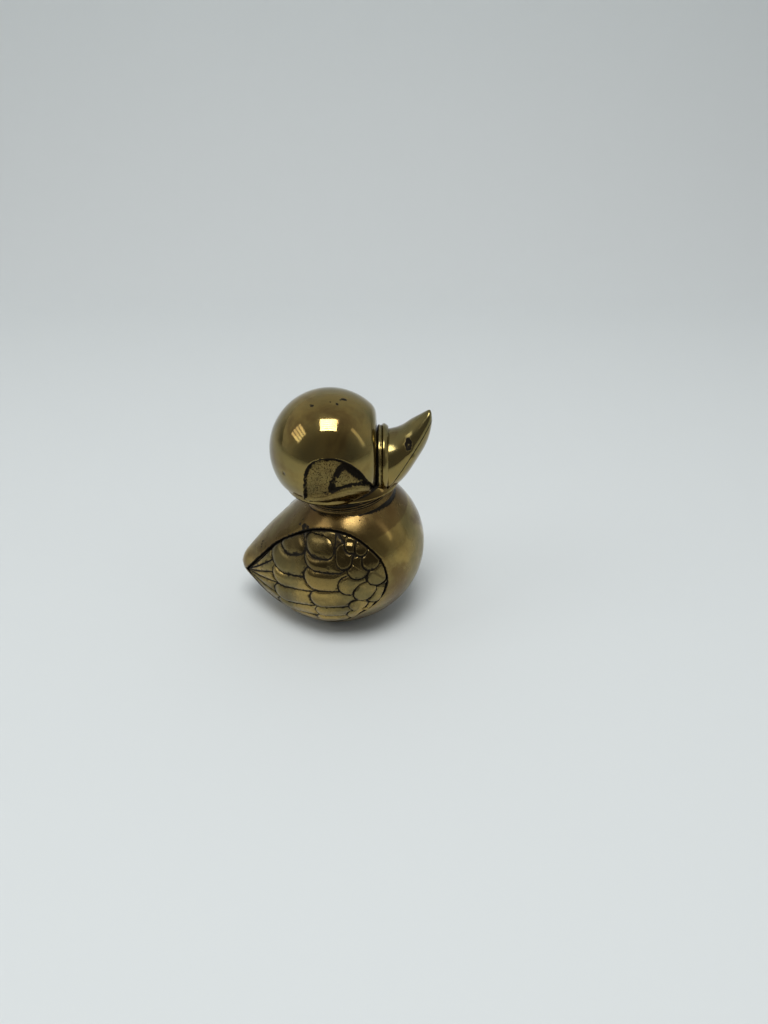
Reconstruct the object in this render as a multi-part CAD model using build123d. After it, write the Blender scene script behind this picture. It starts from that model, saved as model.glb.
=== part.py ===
from build123d import *
import math
import os

os.makedirs("parts", exist_ok=True)

# Brass duck: a drop-shaped body, a round head on a beaded neck ring, an upturned bill and two
# feathered wing panels. Millimetres, +X to the bill, +Z up, origin under the middle of the
# whole figure on the table. Heights are measured from the table.

# Body: round sections stand along X, and their middles rise from the tail to the breast. Its
# length and radius carry the places of everything else.
body_length = 58.8
body_radius = 24.5
tail_place_share = 0.50935
tail_x = -tail_place_share * body_length
breast_share = 0.574
tail_rise_share = 0.6367
breast_rise_share = 0.9592
body_wall = 3.0
tail_wall_share = 1.5
rear_place_shares = (0.018, 0.0507, 0.118, 0.2027, 0.304, 0.422)
rear_radius_shares = (0.115, 0.212, 0.384, 0.566, 0.742, 0.914)
rise_place_shares = (0.0, 0.118, 0.2027, 0.304, 0.422, 0.574, 0.726, 0.861, 1.0)
rise_shares = (0.0, 0.05, 0.12, 0.28, 0.53, 0.8, 0.92, 0.98, 1.0)
breast_angles = (0, 20, 38, 54, 67, 78, 86)

# Round mouth in the flat foot
foot_place_share = 0.5128
foot_x = tail_x + foot_place_share * body_length
foot_depth = 2.5
mouth_radius_share = 0.367
mouth_radius = mouth_radius_share * body_radius

# Neck seat on the body
neck_place_share = 0.6114
neck_rise_share = 1.7143
neck_x = tail_x + neck_place_share * body_length
neck_z = neck_rise_share * body_radius
neck_tilt = 9.0
neck_radius = 13.5
neck_height = 5.0
neck_fit = 0.1
deck = 3.5

# Head: a ball that stands on its rim plane, with a flat front for the bill
head_radius = 17.8
head_back = 5.65
rim_back = 2.0
rim_lift = 4.2
rim_tilt = 2.0
rim_drop_share = 0.6292
front_share = 0.7612
brow_share = 0.281
head_x = neck_x - head_back
rim_x = neck_x - rim_back
rim_z = neck_z + rim_lift
head_z = rim_z + rim_drop_share * head_radius
head_front_x = head_x + front_share * head_radius
brow_round = brow_share * head_radius

# Lip that runs round under the head and on along the bill's root, as an oval
lip_back = 0.8
lip_x = neck_x - lip_back
lip_length_share = 0.865
lip_width_share = 0.7303
lip_height = 2.0
lip_taper = 12.0

# Eye recess, as shares of the head radius from the head's centre, seen from the side
eye_depth = 0.9
lid_depth = 0.25
pupil_depth = 0.45
eye_brow_shares = (
    (-0.39, -0.50), (-0.38, -0.22), (-0.36, 0.0), (-0.31, 0.18), (-0.20, 0.30), (-0.02, 0.355),
    (0.18, 0.34), (0.36, 0.24), (0.52, 0.07), (0.62, -0.13), (0.69, -0.28), (0.73, -0.44),
)
eye_floor_shares = ((0.73, -0.44), (0.56, -0.34), (0.26, -0.27), (-0.07, -0.42), (-0.39, -0.50))
lid_shares = ((-0.36, -0.46), (0.0, -0.30), (0.26, -0.17), (0.56, -0.25), (0.72, -0.43))
pupil_shares = ((0.12, -0.25), (0.17, 0.04), (0.28, 0.17), (0.40, 0.04), (0.56, -0.20))

# Bill and its stepped collar
collar_share = 0.573
collar_radius = collar_share * head_radius
collar_gap = 0.1
ridge_width = 1.1
groove_width = 0.4
collar_width = 1.9
ridge_sink = 0.35
groove_sink = 0.6
bill_drop_share = 0.18
bill_rise_share = 0.6966
bill_length_share = 0.705
bill_root_z = head_z - bill_drop_share * head_radius
bill_tip_z = bill_root_z + bill_rise_share * head_radius
bill_root_x = head_front_x + collar_gap
collar_end_x = bill_root_x + ridge_width + groove_width + collar_width
bill_length = bill_length_share * head_radius
bill_tip_x = collar_end_x + bill_length
tenon_radius = 4.0
tenon_length_share = 0.2584
tenon_length = tenon_length_share * head_radius
tenon_fit = 0.1
tenon_spare = 0.3
mouth_drop = 0.25
nostril_place_share = 0.494
nostril_rise_share = 0.863
nostril_out_share = 0.765
nostril_round = 2.6
# Sections of the bill: how far from the collar to the tip, middle height from the root's to the
# tip's, half height and half width as shares of the collar's, and where the mouth line crosses,
# as a share of the half height below the middle
bill_place_shares = (0.0, 0.23, 0.47, 0.68, 0.85, 0.955)
bill_rise_shares = (-0.06, 0.07, 0.30, 0.56, 0.78, 0.96)
bill_height_shares = (0.91, 0.84, 0.78, 0.65, 0.54, 0.36)
bill_width_shares = (0.92, 0.84, 0.70, 0.55, 0.36, 0.20)
mouth_line_shares = (0.55, 0.23, 0.02, -0.08, -0.18, -0.2)

# Cutting tools run past the form by the overrun, and blocks that stand for all space are reach long
overrun = 3.0
reach = 60.0

# Wing panel and its bed
wing_place_share = 0.02976
wing_length_share = 0.7704
wing_foot_share = 0.1469
wing_height_share = 1.4653
wing_tip_x = tail_x + wing_place_share * body_length
wing_length = wing_length_share * body_length
wing_foot_z = wing_foot_share * body_radius
wing_height = wing_height_share * body_radius
bed_depth = 1.3
bed_gap = 0.25
seat_gap = 0.1
panel_sink = 0.45
feather_lift = 0.1
feather_proud = 0.3
feather_round = 28.0
rib_round = 9.0
probe = 0.2
stud_radius = 1.25
stud_fit = 0.1
stud_length = 4.4
stud_shares = ((0.38, 0.60), (0.78, 0.52))

# Leaf outline of the wing, in shares of its length and height, from the tail end over the top
leaf_shares = (
    (0.0, 0.32), (0.10, 0.495), (0.18, 0.615), (0.28, 0.74), (0.36, 0.82), (0.45, 0.905),
    (0.56, 0.975), (0.68, 1.0), (0.79, 0.97), (0.885, 0.885), (0.965, 0.765), (1.0, 0.61),
    (0.99, 0.485), (0.945, 0.375), (0.85, 0.26), (0.75, 0.145), (0.67, 0.065), (0.56, 0.012),
    (0.455, 0.0), (0.35, 0.035), (0.26, 0.09), (0.17, 0.16), (0.08, 0.245), (0.0, 0.32),
)

# Neck screw and washer
screw_radius = 2.0
screw_fit = 0.15
screw_head_radius = 4.0
screw_head_height = 2.6
screw_bite = 7.0
screw_spare = 1.0
slot_width = 1.0
slot_depth = 1.2
washer_radius = 5.5
washer_thickness = 1.0

# Beads on the neck ring, as shares of its height and radius
neck_profile_shares = (
    (0.0, 1.0), (0.10, 0.985), (0.25, 0.965), (0.36, 0.96), (0.42, 0.98), (0.48, 0.96),
    (0.54, 0.98), (0.60, 0.96), (0.70, 0.955), (1.3, 0.955),
)


def between(places, values, place):
    """Value at a place, straight between the named places."""
    for near, far, low, high in zip(places, places[1:], values, values[1:]):
        if place <= far:
            return low + (high - low) * max(place - near, 0) / (far - near)
    return values[-1]


def rise(share):
    """Height of the middle of the body's section, by its share of the length."""
    along = between(rise_place_shares, rise_shares, share)
    return body_radius * (tail_rise_share + (breast_rise_share - tail_rise_share) * along)


def body_radius_at(x):
    """Radius of the body's round section at x."""
    share = (x - tail_x) / body_length
    if share >= breast_share:
        along = (share - breast_share) / (1 - breast_share)
        return body_radius * math.sqrt(max(1 - along**2, 0))
    places = (0,) + rear_place_shares + (breast_share,)
    radii = (0,) + rear_radius_shares + (1,)
    return body_radius * between(places, radii, share)


def body_form(inset):
    """The drop form of the body, made smaller by an inset; a negative inset makes it larger."""
    start = tail_x + tail_wall_share * inset
    end = tail_x + body_length - inset
    length = end - start
    radius = body_radius - inset
    stations = [(share, size) for share, size in zip(rear_place_shares, rear_radius_shares)]
    for angle in breast_angles:
        share = breast_share + (1 - breast_share) * math.sin(math.radians(angle))
        stations.append((share, math.cos(math.radians(angle))))
    sections = [Vertex(start, 0, rise(0))]
    for share, size in stations:
        place = Plane(origin=(start + share * length, 0, rise(share)), x_dir=(0, 1, 0), z_dir=(1, 0, 0))
        sections.append(place * Circle(size * radius))
    sections.append(Vertex(end, 0, rise(1)))
    return loft(sections)


def side_prism(outline):
    """A prism from the middle plane out to the duck's right side."""
    return extrude(Plane.XZ * outline, amount=reach)


def left_of(part):
    return mirror(part, about=Plane.XZ)


# Neck axis and the planes square to it
neck_plane = Plane(origin=(neck_x, 0, neck_z)).rotated((0, -neck_tilt, 0))
rim_plane = Plane(origin=(rim_x, 0, rim_z)).rotated((0, -rim_tilt, 0))


def wing_point(share_x, share_z, inset=0):
    """A point of the wing's side view, from shares of its length and height."""
    return (
        wing_tip_x + inset + share_x * (wing_length - 2 * inset),
        wing_foot_z + inset + share_z * (wing_height - 2 * inset),
    )


def leaf(inset):
    points = [wing_point(x, z, inset) for x, z in leaf_shares]
    return make_face(Spline(*points))


# Feathers, in shares of the wing's length and height: root, free end and width; the width is a
# share of the feather's own length. Each row lies over the row behind it.
primary_shares = (
    ((0.0, 0.32), (0.30, 0.80), (0.30, 0.62)),
    ((0.0, 0.32), (0.30, 0.68), (0.27, 0.47)),
    ((0.0, 0.32), (0.27, 0.53), (0.27, 0.35)),
    ((0.0, 0.32), (0.27, 0.42), (0.30, 0.20)),
    ((0.0, 0.32), (0.30, 0.27), (0.36, 0.02)),
)
covert_shares = (
    ((0.62, 0.08), (0.30, 0.03), 0.403), ((0.60, 0.30), (0.245, 0.15), 0.347),
    ((0.57, 0.46), (0.23, 0.285), 0.436), ((0.55, 0.60), (0.22, 0.465), 0.418),
    ((0.54, 0.74), (0.215, 0.60), 0.48), ((0.54, 0.90), (0.275, 0.755), 0.519),
)
second_shares = (
    ((0.84, 0.20), (0.52, 0.12), 0.368), ((0.86, 0.31), (0.515, 0.255), 0.359),
    ((0.82, 0.47), (0.485, 0.405), 0.457), ((0.78, 0.655), (0.45, 0.60), 0.496),
    ((0.74, 0.79), (0.455, 0.755), 0.454), ((0.72, 0.94), (0.46, 0.885), 0.474),
)
scale_shares = (
    ((0.86, 0.28), (0.735, 0.19), 0.695), ((0.92, 0.40), (0.845, 0.275), 0.805),
    ((0.87, 0.40), (0.75, 0.33), 0.87), ((0.98, 0.52), (0.885, 0.385), 0.804),
    ((0.86, 0.65), (0.685, 0.555), 0.761), ((0.91, 0.59), (0.80, 0.44), 0.834),
    ((1.0, 0.72), (0.89, 0.585), 0.912), ((0.86, 0.82), (0.77, 0.665), 0.952),
    ((0.72, 0.93), (0.72, 0.735), 0.712), ((0.90, 0.90), (0.895, 0.71), 0.797),
    ((0.77, 0.99), (0.765, 0.86), 0.824), ((0.84, 0.97), (0.83, 0.83), 0.763),
)
primary_tilt = 5.0
long_tilt = 3.5
scale_tilt = 6.0
low_side_share = 0.75


def skin_point(x, z):
    """Where a point of the side view lies on the right flank of the body."""
    height = z - rise((x - tail_x) / body_length)
    radius = body_radius_at(x)
    return Vector(x, -math.sqrt(max(radius**2 - height**2, (radius / 2) ** 2)), z)


def skin_normal(x, z):
    """Outward direction of the body's flank there."""
    along = skin_point(x + probe, z) - skin_point(x - probe, z)
    upward = skin_point(x, z + probe) - skin_point(x, z - probe)
    return along.cross(upward).normalized()


def tilted_normal(middle, toward, tilt):
    """The flank's direction, leaned so that a face square to it stands proud on one side."""
    side = Vector(toward[0], 0, toward[1]).normalized()
    return (skin_normal(*middle) - side * math.tan(math.radians(tilt))).normalized()


def tongue(root, end, width_share):
    """A feather's outline: straight sides and round ends."""
    length = math.dist(root, end)
    width = width_share * length
    angle = math.degrees(math.atan2(end[1] - root[1], end[0] - root[0]))
    middle = ((root[0] + end[0]) / 2, (root[1] + end[1]) / 2)
    return Pos(*middle) * Rot(0, 0, angle) * SlotOverall(length, width)


def middle_of(points):
    return (sum(x for x, _ in points) / len(points), sum(z for _, z in points) / len(points))


def primary(corners):
    """A long rib that fans out from the wing's tip, with a rounded back."""
    points = [wing_point(*corner) for corner in corners]
    middle = middle_of(points)
    tip = skin_point(*points[0])
    run = skin_point(*middle_of(points[1:])) - tip
    down = (points[2][1] - points[0][1], points[0][0] - points[2][0])
    normal = tilted_normal(middle, down, primary_tilt)
    core = skin_point(*middle) - normal * (rib_round - feather_lift)
    bar = Plane(origin=core - run.normalized() * reach / 2, z_dir=run) * extrude(Circle(rib_round), reach)
    return side_prism(make_face(Polyline(*points, close=True))) & bar


def covert(root_share, end_share, width_share, tilt):
    """A feather with a round end and a domed face, proud at its free end and lower edge."""
    root = wing_point(*root_share)
    end = wing_point(*end_share)
    along = (end[0] - root[0], end[1] - root[1])
    toward = (along[0] + along[1] * low_side_share, along[1] + along[0] * low_side_share)
    middle = middle_of((root, end))
    normal = tilted_normal(middle, toward, tilt)
    core = skin_point(*middle) - normal * (feather_round - feather_lift)
    return side_prism(tongue(root, end, width_share)) & (Pos(core) * Sphere(feather_round))


def feathers():
    """Every feather of the right wing, each over the one behind it."""
    pieces = [primary(corners) for corners in primary_shares]
    for row, tilt in ((covert_shares, long_tilt), (second_shares, long_tilt), (scale_shares, scale_tilt)):
        pieces += [covert(root, end, width, tilt) for root, end, width in row]
    return pieces


def stud_places():
    return [skin_point(*wing_point(*share)) for share in stud_shares]


def studs(radius, length):
    """Pegs square to the middle plane, from inside the wing panel into the body."""
    pegs = [
        Plane(origin=(place.X, place.Y + bed_depth / 2, place.Z), z_dir=(0, 1, 0))
        * extrude(Circle(radius), length)
        for place in stud_places()
    ]
    return pegs


def make_right_wing():
    relief = feathers()
    cover = relief[0].fuse(*relief[1:]) & side_prism(leaf(bed_gap)) & body_form(-feather_proud)
    panel = cover + (side_prism(leaf(bed_gap)) & body_form(panel_sink))
    behind = carved(body_form(bed_depth - seat_gap), studs(stud_radius, stud_length))
    return panel - behind


def above(plane, depth=0):
    """Everything above a plane, or above one sunk below it by a depth."""
    return plane * Pos(0, 0, -depth) * Box(
        2 * reach, 2 * reach, reach, align=(Align.CENTER, Align.CENTER, Align.MIN)
    )


def neck_rod(radius, start, end):
    """A rod on the neck axis between two heights above the seat."""
    return neck_plane * Pos(0, 0, start) * extrude(Circle(radius), end - start)


def carved(form, tools):
    """A form with each tool cut away in turn."""
    for tool in tools:
        form = form - tool
    return form


def make_body():
    ground = Box(2 * reach, 2 * reach, reach, align=(Align.CENTER, Align.CENTER, Align.MAX))
    hollow = (body_form(body_wall) & above(Plane.XY, -foot_depth)) - above(neck_plane, deck)
    mouth = Pos(foot_x, 0, -overrun) * extrude(Circle(mouth_radius), foot_depth + 2 * overrun)
    seat = neck_rod(neck_radius + neck_fit, 0, reach)
    screw_hole = neck_rod(screw_radius + screw_fit, -deck - overrun, overrun)
    bed = side_prism(leaf(0)) - body_form(bed_depth)
    holes = studs(stud_radius + stud_fit, stud_length + overrun)
    holes += [left_of(hole) for hole in holes]
    return carved(body_form(0), [ground, hollow, *holes, mouth, seat, screw_hole, bed, left_of(bed)])


def make_neck_ring():
    points = [(neck_radius * across, neck_height * up) for up, across in neck_profile_shares]
    bore = screw_radius + screw_fit
    outline = Polyline((bore, 0), *points, (bore, points[-1][1]), close=True)
    ring = neck_plane * revolve(Plane.XZ * make_face(outline), Axis.Z)
    return ring - above(rim_plane)


def head_point(shares):
    return head_x + shares[0] * head_radius, head_z + shares[1] * head_radius


def head_ball(inset):
    return Pos(head_x, 0, head_z) * Sphere(head_radius - inset)


def eye_socket():
    """The half-moon recess of the right eye, with its lid and pupil standing in it."""
    brow = Spline(*[head_point(share) for share in eye_brow_shares])
    floor = Spline(*[head_point(share) for share in eye_floor_shares])
    recess = side_prism(make_face([brow, floor])) - head_ball(eye_depth)
    for shares, depth in ((lid_shares, lid_depth), (pupil_shares, pupil_depth)):
        points = [head_point(share) for share in shares]
        mound = side_prism(make_face(Spline(*points, periodic=True))) & head_ball(depth)
        recess = recess - mound
    return recess


def lip_form():
    """The oval lip under the head and the bill's root, standing on the rim plane."""
    oval = Ellipse(lip_length_share * head_radius, lip_width_share * head_radius)
    oval = extrude(oval, lip_height, taper=lip_taper)
    return rim_plane * Pos(lip_x - rim_x, 0, 0) * oval


def make_head():
    eye = eye_socket()
    front = Pos(head_front_x, 0, head_z) * Box(
        reach, reach, reach, align=(Align.MIN, Align.CENTER, Align.CENTER)
    )
    socket = Plane(origin=(head_front_x - tenon_length - tenon_spare, 0, bill_root_z), z_dir=(1, 0, 0))
    socket = socket * extrude(Circle(tenon_radius + tenon_fit), reach)
    below = above(-rim_plane)
    tapped = neck_rod(screw_radius + screw_fit, 0, neck_height + screw_bite + screw_spare)
    ball = head_ball(0) - front
    ball = fillet(ball.faces().sort_by(Axis.X)[-1].edges(), brow_round)
    ball = ball + (lip_form() - front)
    return carved(ball, (below, eye, left_of(eye), socket, tapped))


def bill_section(place, rise_share, height, width):
    """One upright oval section of the bill."""
    middle = bill_root_z + rise_share * (bill_tip_z - bill_root_z)
    origin = (collar_end_x + place * bill_length, 0, middle)
    plane = Plane(origin=origin, x_dir=(0, 1, 0), z_dir=(1, 0, 0))
    return plane * Ellipse(width * collar_radius, height * collar_radius)


def bill_form(drop):
    """The bill from its root to its tip; the lower jaw is the same form made smaller by a drop."""
    less = drop / collar_radius
    sections = []
    for place, up, height, width in zip(
        bill_place_shares, bill_rise_shares, bill_height_shares, bill_width_shares
    ):
        sections.append(bill_section(place, up, height - less, width - less))
    sections.append(Vertex(bill_tip_x - drop, 0, bill_tip_z))
    return loft(sections)


def collar_disc(start, width, sink):
    """A round disc of the bill's collar, from a place along X."""
    plane = Plane(origin=(start, 0, bill_root_z), x_dir=(0, 1, 0), z_dir=(1, 0, 0))
    return plane * extrude(Circle(collar_radius - sink), width)


def below_mouth():
    """Everything under the mouth line, which runs from the chin up to the tip of the bill."""
    line = []
    for place, up, height, down in zip(
        bill_place_shares, bill_rise_shares, bill_height_shares, mouth_line_shares
    ):
        middle = bill_root_z + up * (bill_tip_z - bill_root_z)
        line.append((collar_end_x + place * bill_length, middle - down * height * collar_radius))
    line.append((bill_tip_x + overrun, bill_tip_z + overrun))
    outline = [Spline(*line), Polyline(line[-1], (line[-1][0], 0), (line[0][0], 0), line[0])]
    return extrude(Plane.XZ * make_face(outline), amount=reach, both=True)


def make_bill():
    jaw = below_mouth()
    form = (bill_form(0) - jaw) + (bill_form(mouth_drop) & jaw)
    form = form + collar_disc(bill_root_x, ridge_width, ridge_sink)
    form = form + collar_disc(bill_root_x + ridge_width, groove_width, groove_sink)
    form = form + collar_disc(collar_end_x - collar_width, collar_width, 0)
    behind = Pos(bill_root_x, 0, rim_z) * Box(
        reach, reach, reach, align=(Align.MAX, Align.CENTER, Align.CENTER)
    )
    form = form - above(-rim_plane) + (lip_form() - behind)
    nostril = Pos(
        collar_end_x + nostril_place_share * bill_length,
        -nostril_out_share * collar_radius,
        bill_root_z + nostril_rise_share * collar_radius,
    ) * Sphere(nostril_round)
    form = carved(form, (nostril, left_of(nostril)))
    tenon = Plane(origin=(bill_root_x - tenon_length, 0, bill_root_z), z_dir=(1, 0, 0))
    return form + tenon * extrude(Circle(tenon_radius), tenon_length)


def make_screw():
    under = -deck - washer_thickness
    shank = neck_rod(screw_radius, under, neck_height + screw_bite)
    head = neck_rod(screw_head_radius, under - screw_head_height, under)
    slot = neck_plane * Pos(0, 0, under - screw_head_height) * Box(
        2 * reach, slot_width, 2 * slot_depth
    )
    return (shank + head) - slot


def make_washer():
    washer = neck_rod(washer_radius, -deck - washer_thickness, -deck)
    return washer - neck_rod(screw_radius + screw_fit, -reach, reach)


right_wing = make_right_wing()
pieces = {
    "body_casting": make_body(),
    "right_wing": right_wing,
    "left_wing": left_of(right_wing),
    "neck_ring": make_neck_ring(),
    "head_casting": make_head(),
    "bill": make_bill(),
    "neck_screw": make_screw(),
    "neck_washer": make_washer(),
}
for name, piece in pieces.items():
    export_step(piece, f"parts/{name}.step")
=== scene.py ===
"""Brass duck ornament: the looks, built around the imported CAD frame."""
import logging
import math
from dataclasses import dataclass, field
from enum import Enum
from typing import Any, Callable, Optional, Sequence

import bmesh
import bpy
import numpy as np
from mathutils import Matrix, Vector


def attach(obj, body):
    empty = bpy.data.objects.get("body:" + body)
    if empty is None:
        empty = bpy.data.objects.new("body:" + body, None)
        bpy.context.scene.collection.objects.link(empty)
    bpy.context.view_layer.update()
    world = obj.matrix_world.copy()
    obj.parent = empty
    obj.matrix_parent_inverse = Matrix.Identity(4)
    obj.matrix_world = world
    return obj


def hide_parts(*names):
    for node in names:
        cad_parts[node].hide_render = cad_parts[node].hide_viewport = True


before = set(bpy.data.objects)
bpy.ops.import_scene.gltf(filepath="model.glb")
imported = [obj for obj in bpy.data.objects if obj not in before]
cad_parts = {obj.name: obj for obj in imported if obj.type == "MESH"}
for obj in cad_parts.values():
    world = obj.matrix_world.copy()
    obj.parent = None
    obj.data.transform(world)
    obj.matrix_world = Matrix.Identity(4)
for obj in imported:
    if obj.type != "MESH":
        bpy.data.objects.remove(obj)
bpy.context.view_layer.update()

log = logging.getLogger("brass_duck")
MM = 0.001
BODY_NAME = "root"
RIM_ORIGIN = (4.0, 0.0, 46.2)
RIM_TILT = 2.0
FAR = 60.0
MARK_STRENGTH = 1.7
Pairs = Sequence[tuple[float, float]]
Colour = tuple[float, float, float, float]


# Curves and distances

def natural_spline(knots: np.ndarray, values: np.ndarray, where: np.ndarray) -> np.ndarray:
    """Smooth curve through values given at rising knots.

    Args:
        knots: Rising parameters, one for each value.
        values: One row for each knot.
        where: Parameters to read the curve at.

    Returns:
        The curve's values, one row for each parameter.
    """
    steps = np.diff(knots)
    count = len(knots)
    system = np.eye(count)
    right = np.zeros_like(values, dtype=float)
    for i in range(1, count - 1):
        system[i, i - 1:i + 2] = steps[i - 1], 2 * (steps[i - 1] + steps[i]), steps[i]
        right[i] = 6 * ((values[i + 1] - values[i]) / steps[i] - (values[i] - values[i - 1]) / steps[i - 1])
    bend = np.linalg.solve(system, right)
    cell = np.clip(np.searchsorted(knots, where, side="right") - 1, 0, count - 2)
    span = steps[cell][:, None]
    near = (knots[cell + 1] - where)[:, None] / span
    far = 1 - near
    curve = near * values[cell] + far * values[cell + 1]
    return curve + ((near**3 - near) * bend[cell] + (far**3 - far) * bend[cell + 1]) * span**2 / 6


def through(points: np.ndarray, count: int) -> np.ndarray:
    """Evenly spaced points of the smooth curve through some points."""
    knots = np.concatenate([[0], np.cumsum(np.linalg.norm(np.diff(points, axis=0), axis=1))])
    return natural_spline(knots, points, np.linspace(0, knots[-1], count))


def line_distance(points: np.ndarray, line: np.ndarray, batch: int = 6000) -> np.ndarray:
    """Distance of each point to a chain of straight runs.

    Args:
        points: Points of a plane, one row each.
        line: Corners of the chain, in order.
        batch: How many points are worked out at a time.

    Returns:
        One distance for each point.
    """
    start = line[:-1]
    run = np.diff(line, axis=0)
    square = np.maximum((run**2).sum(1), 1e-12)
    found = np.empty(len(points))
    for low in range(0, len(points), batch):
        offset = points[low:low + batch, None, :] - start[None]
        share = np.clip((offset * run[None]).sum(2) / square[None], 0, 1)
        rest = offset - share[..., None] * run[None]
        found[low:low + batch] = np.sqrt((rest**2).sum(2).min(1))
    return found


def inside(points: np.ndarray, outline: np.ndarray) -> np.ndarray:
    """Whether each point of a plane lies inside a closed outline."""
    hits = np.zeros(len(points), bool)
    for first, second in zip(outline, np.roll(outline, -1, axis=0)):
        crosses = (first[1] > points[:, 1]) != (second[1] > points[:, 1])
        rise = second[1] - first[1]
        at = first[0] + (points[:, 1] - first[1]) * (second[0] - first[0]) / (rise if rise else 1e-12)
        hits ^= crosses & (points[:, 0] < at)
    return hits


def depth_inside(points: np.ndarray, outline: np.ndarray) -> np.ndarray:
    """Distance to an outline, positive inside it and negative outside."""
    closed = np.vstack([outline, outline[:1]])
    return np.where(inside(points, outline), 1, -1) * line_distance(points, closed)


def ramp(values: np.ndarray, low: float, high: float) -> np.ndarray:
    """Smooth step from 0 at low to 1 at high."""
    share = np.clip((values - low) / (high - low), 0, 1)
    return share * share * (3 - 2 * share)


def pillow(distance: np.ndarray, width: Any) -> np.ndarray:
    """A rounded shoulder, 0 on the edge and 1 from one width inwards."""
    return 1 - (1 - np.clip(distance / width, 0, 1))**2


def fade(distance: np.ndarray, width: float) -> np.ndarray:
    """1 on a line, fading softly over a width."""
    return np.exp(-(distance / width)**2)


def near_marks(points: np.ndarray, marks: Sequence[Sequence[float]]) -> np.ndarray:
    """1 on small marks of a surface, fading round each of them.

    Args:
        points: Points in millimetres, one row each.
        marks: Place and size of each mark in millimetres.

    Returns:
        One number for each point.
    """
    found = np.zeros(len(points))
    for mark in marks:
        away = np.linalg.norm(points - np.array(mark[:3]), axis=1)
        found = np.maximum(found, fade(away, mark[3]))
    return found


# Meshes

def ring_mesh(name: str, rows: np.ndarray, start: np.ndarray, end: np.ndarray) -> bpy.types.Mesh:
    """A closed skin through rings of points, with a pole at each end.

    Args:
        name: The mesh's name.
        rows: Rings of points in millimetres, shaped rings by points by 3.
        start: The pole before the first ring.
        end: The pole after the last ring.

    Returns:
        The mesh, in metres, with its faces outwards.
    """
    rings, around = rows.shape[:2]
    points = np.vstack([rows.reshape(-1, 3), start[None], end[None]]) * MM
    index = np.arange(rings * around).reshape(rings, around)
    after = np.roll(index, -1, axis=1)
    faces = np.stack([index[:-1], after[:-1], after[1:], index[1:]], axis=2).reshape(-1, 4).tolist()
    first = rings * around
    faces += [(first, int(b), int(a)) for a, b in zip(index[0], after[0])]
    faces += [(first + 1, int(a), int(b)) for a, b in zip(index[-1], after[-1])]
    mesh = bpy.data.meshes.new(name)
    mesh.from_pydata(points.tolist(), [], faces)
    settle(mesh)
    return mesh


def settle(mesh: bpy.types.Mesh, sharp_degrees: float = 48.0) -> None:
    """Turn a mesh's faces outwards and shade it smooth between its sharp edges."""
    work = bmesh.new()
    work.from_mesh(mesh)
    bmesh.ops.recalc_face_normals(work, faces=work.faces)
    work.to_mesh(mesh)
    work.free()
    mesh.shade_smooth()
    mesh.set_sharp_from_angle(angle=math.radians(sharp_degrees))
    mesh.update()


def new_object(name: str, mesh: bpy.types.Mesh) -> bpy.types.Object:
    """A mesh's object, linked to the scene."""
    item = bpy.data.objects.new(name, mesh)
    bpy.context.scene.collection.objects.link(item)
    return item


def points_of(mesh: bpy.types.Mesh) -> np.ndarray:
    """A mesh's points in millimetres."""
    flat = np.empty(len(mesh.vertices) * 3)
    mesh.vertices.foreach_get("co", flat)
    return flat.reshape(-1, 3) / MM


def write_layers(mesh: bpy.types.Mesh, **layers: Any) -> None:
    """Store numbers from 0 to 1 for each point of a mesh, for its material to read."""
    for name, values in layers.items():
        layer = mesh.attributes.get(name) or mesh.attributes.new(name, "FLOAT", "POINT")
        kept = np.broadcast_to(np.clip(values, 0, 1), len(mesh.vertices)).astype(np.float32)
        layer.data.foreach_set("value", kept)


def set_points(mesh: bpy.types.Mesh, points: np.ndarray) -> None:
    """Move a mesh's points to places given in millimetres."""
    mesh.vertices.foreach_set("co", (points * MM).reshape(-1))


def evaluated_copy(item: bpy.types.Object, name: str) -> bpy.types.Mesh:
    """The mesh that an object's modifiers give, as a plain mesh."""
    graph = bpy.context.evaluated_depsgraph_get()
    mesh = bpy.data.meshes.new_from_object(item.evaluated_get(graph))
    mesh.name = name
    return mesh


def carve(mesh: bpy.types.Mesh, cutter: bpy.types.Mesh) -> bpy.types.Mesh:
    """One closed mesh with another cut out of it.

    Args:
        mesh: The mesh to cut.
        cutter: The mesh that cuts it.

    Returns:
        A new mesh. Both given meshes are removed.
    """
    target = new_object("carve_target", mesh)
    tool = new_object("carve_tool", cutter)
    modifier = target.modifiers.new("cut", "BOOLEAN")
    modifier.solver = "MANIFOLD"
    modifier.object = tool
    result = evaluated_copy(target, mesh.name + "_cut")
    for item in (target, tool):
        spent = item.data
        bpy.data.objects.remove(item)
        bpy.data.meshes.remove(spent)
    return result


def block(low: Sequence[float], high: Sequence[float]) -> bpy.types.Mesh:
    """A closed block between two corners in millimetres."""
    work = bmesh.new()
    bmesh.ops.create_cube(work, size=1)
    middle = (np.array(low) + np.array(high)) / 2
    span = np.array(high) - np.array(low)
    for vertex in work.verts:
        vertex.co = Vector((np.array(vertex.co) * span + middle) * MM)
    mesh = bpy.data.meshes.new("block")
    work.to_mesh(mesh)
    work.free()
    return mesh


def tilted(points: np.ndarray, degrees: float, origin: Sequence[float]) -> np.ndarray:
    """Points turned about the Y direction and moved to an origin."""
    angle = math.radians(degrees)
    x = points[..., 0] * math.cos(angle) + points[..., 2] * math.sin(angle)
    z = points[..., 2] * math.cos(angle) - points[..., 0] * math.sin(angle)
    return np.stack([x, points[..., 1], z], axis=-1) + np.array(origin)


def cut_under_rim(mesh: bpy.types.Mesh) -> bpy.types.Mesh:
    """The mesh without what lies under the plane of the head's rim, shaded and facing outwards."""
    low = block((-FAR, -FAR, -FAR), (FAR, FAR, 0))
    set_points(low, tilted(points_of(low), -RIM_TILT, RIM_ORIGIN))
    mesh = carve(mesh, low)
    settle(mesh)
    return mesh


# Node trees

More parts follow.
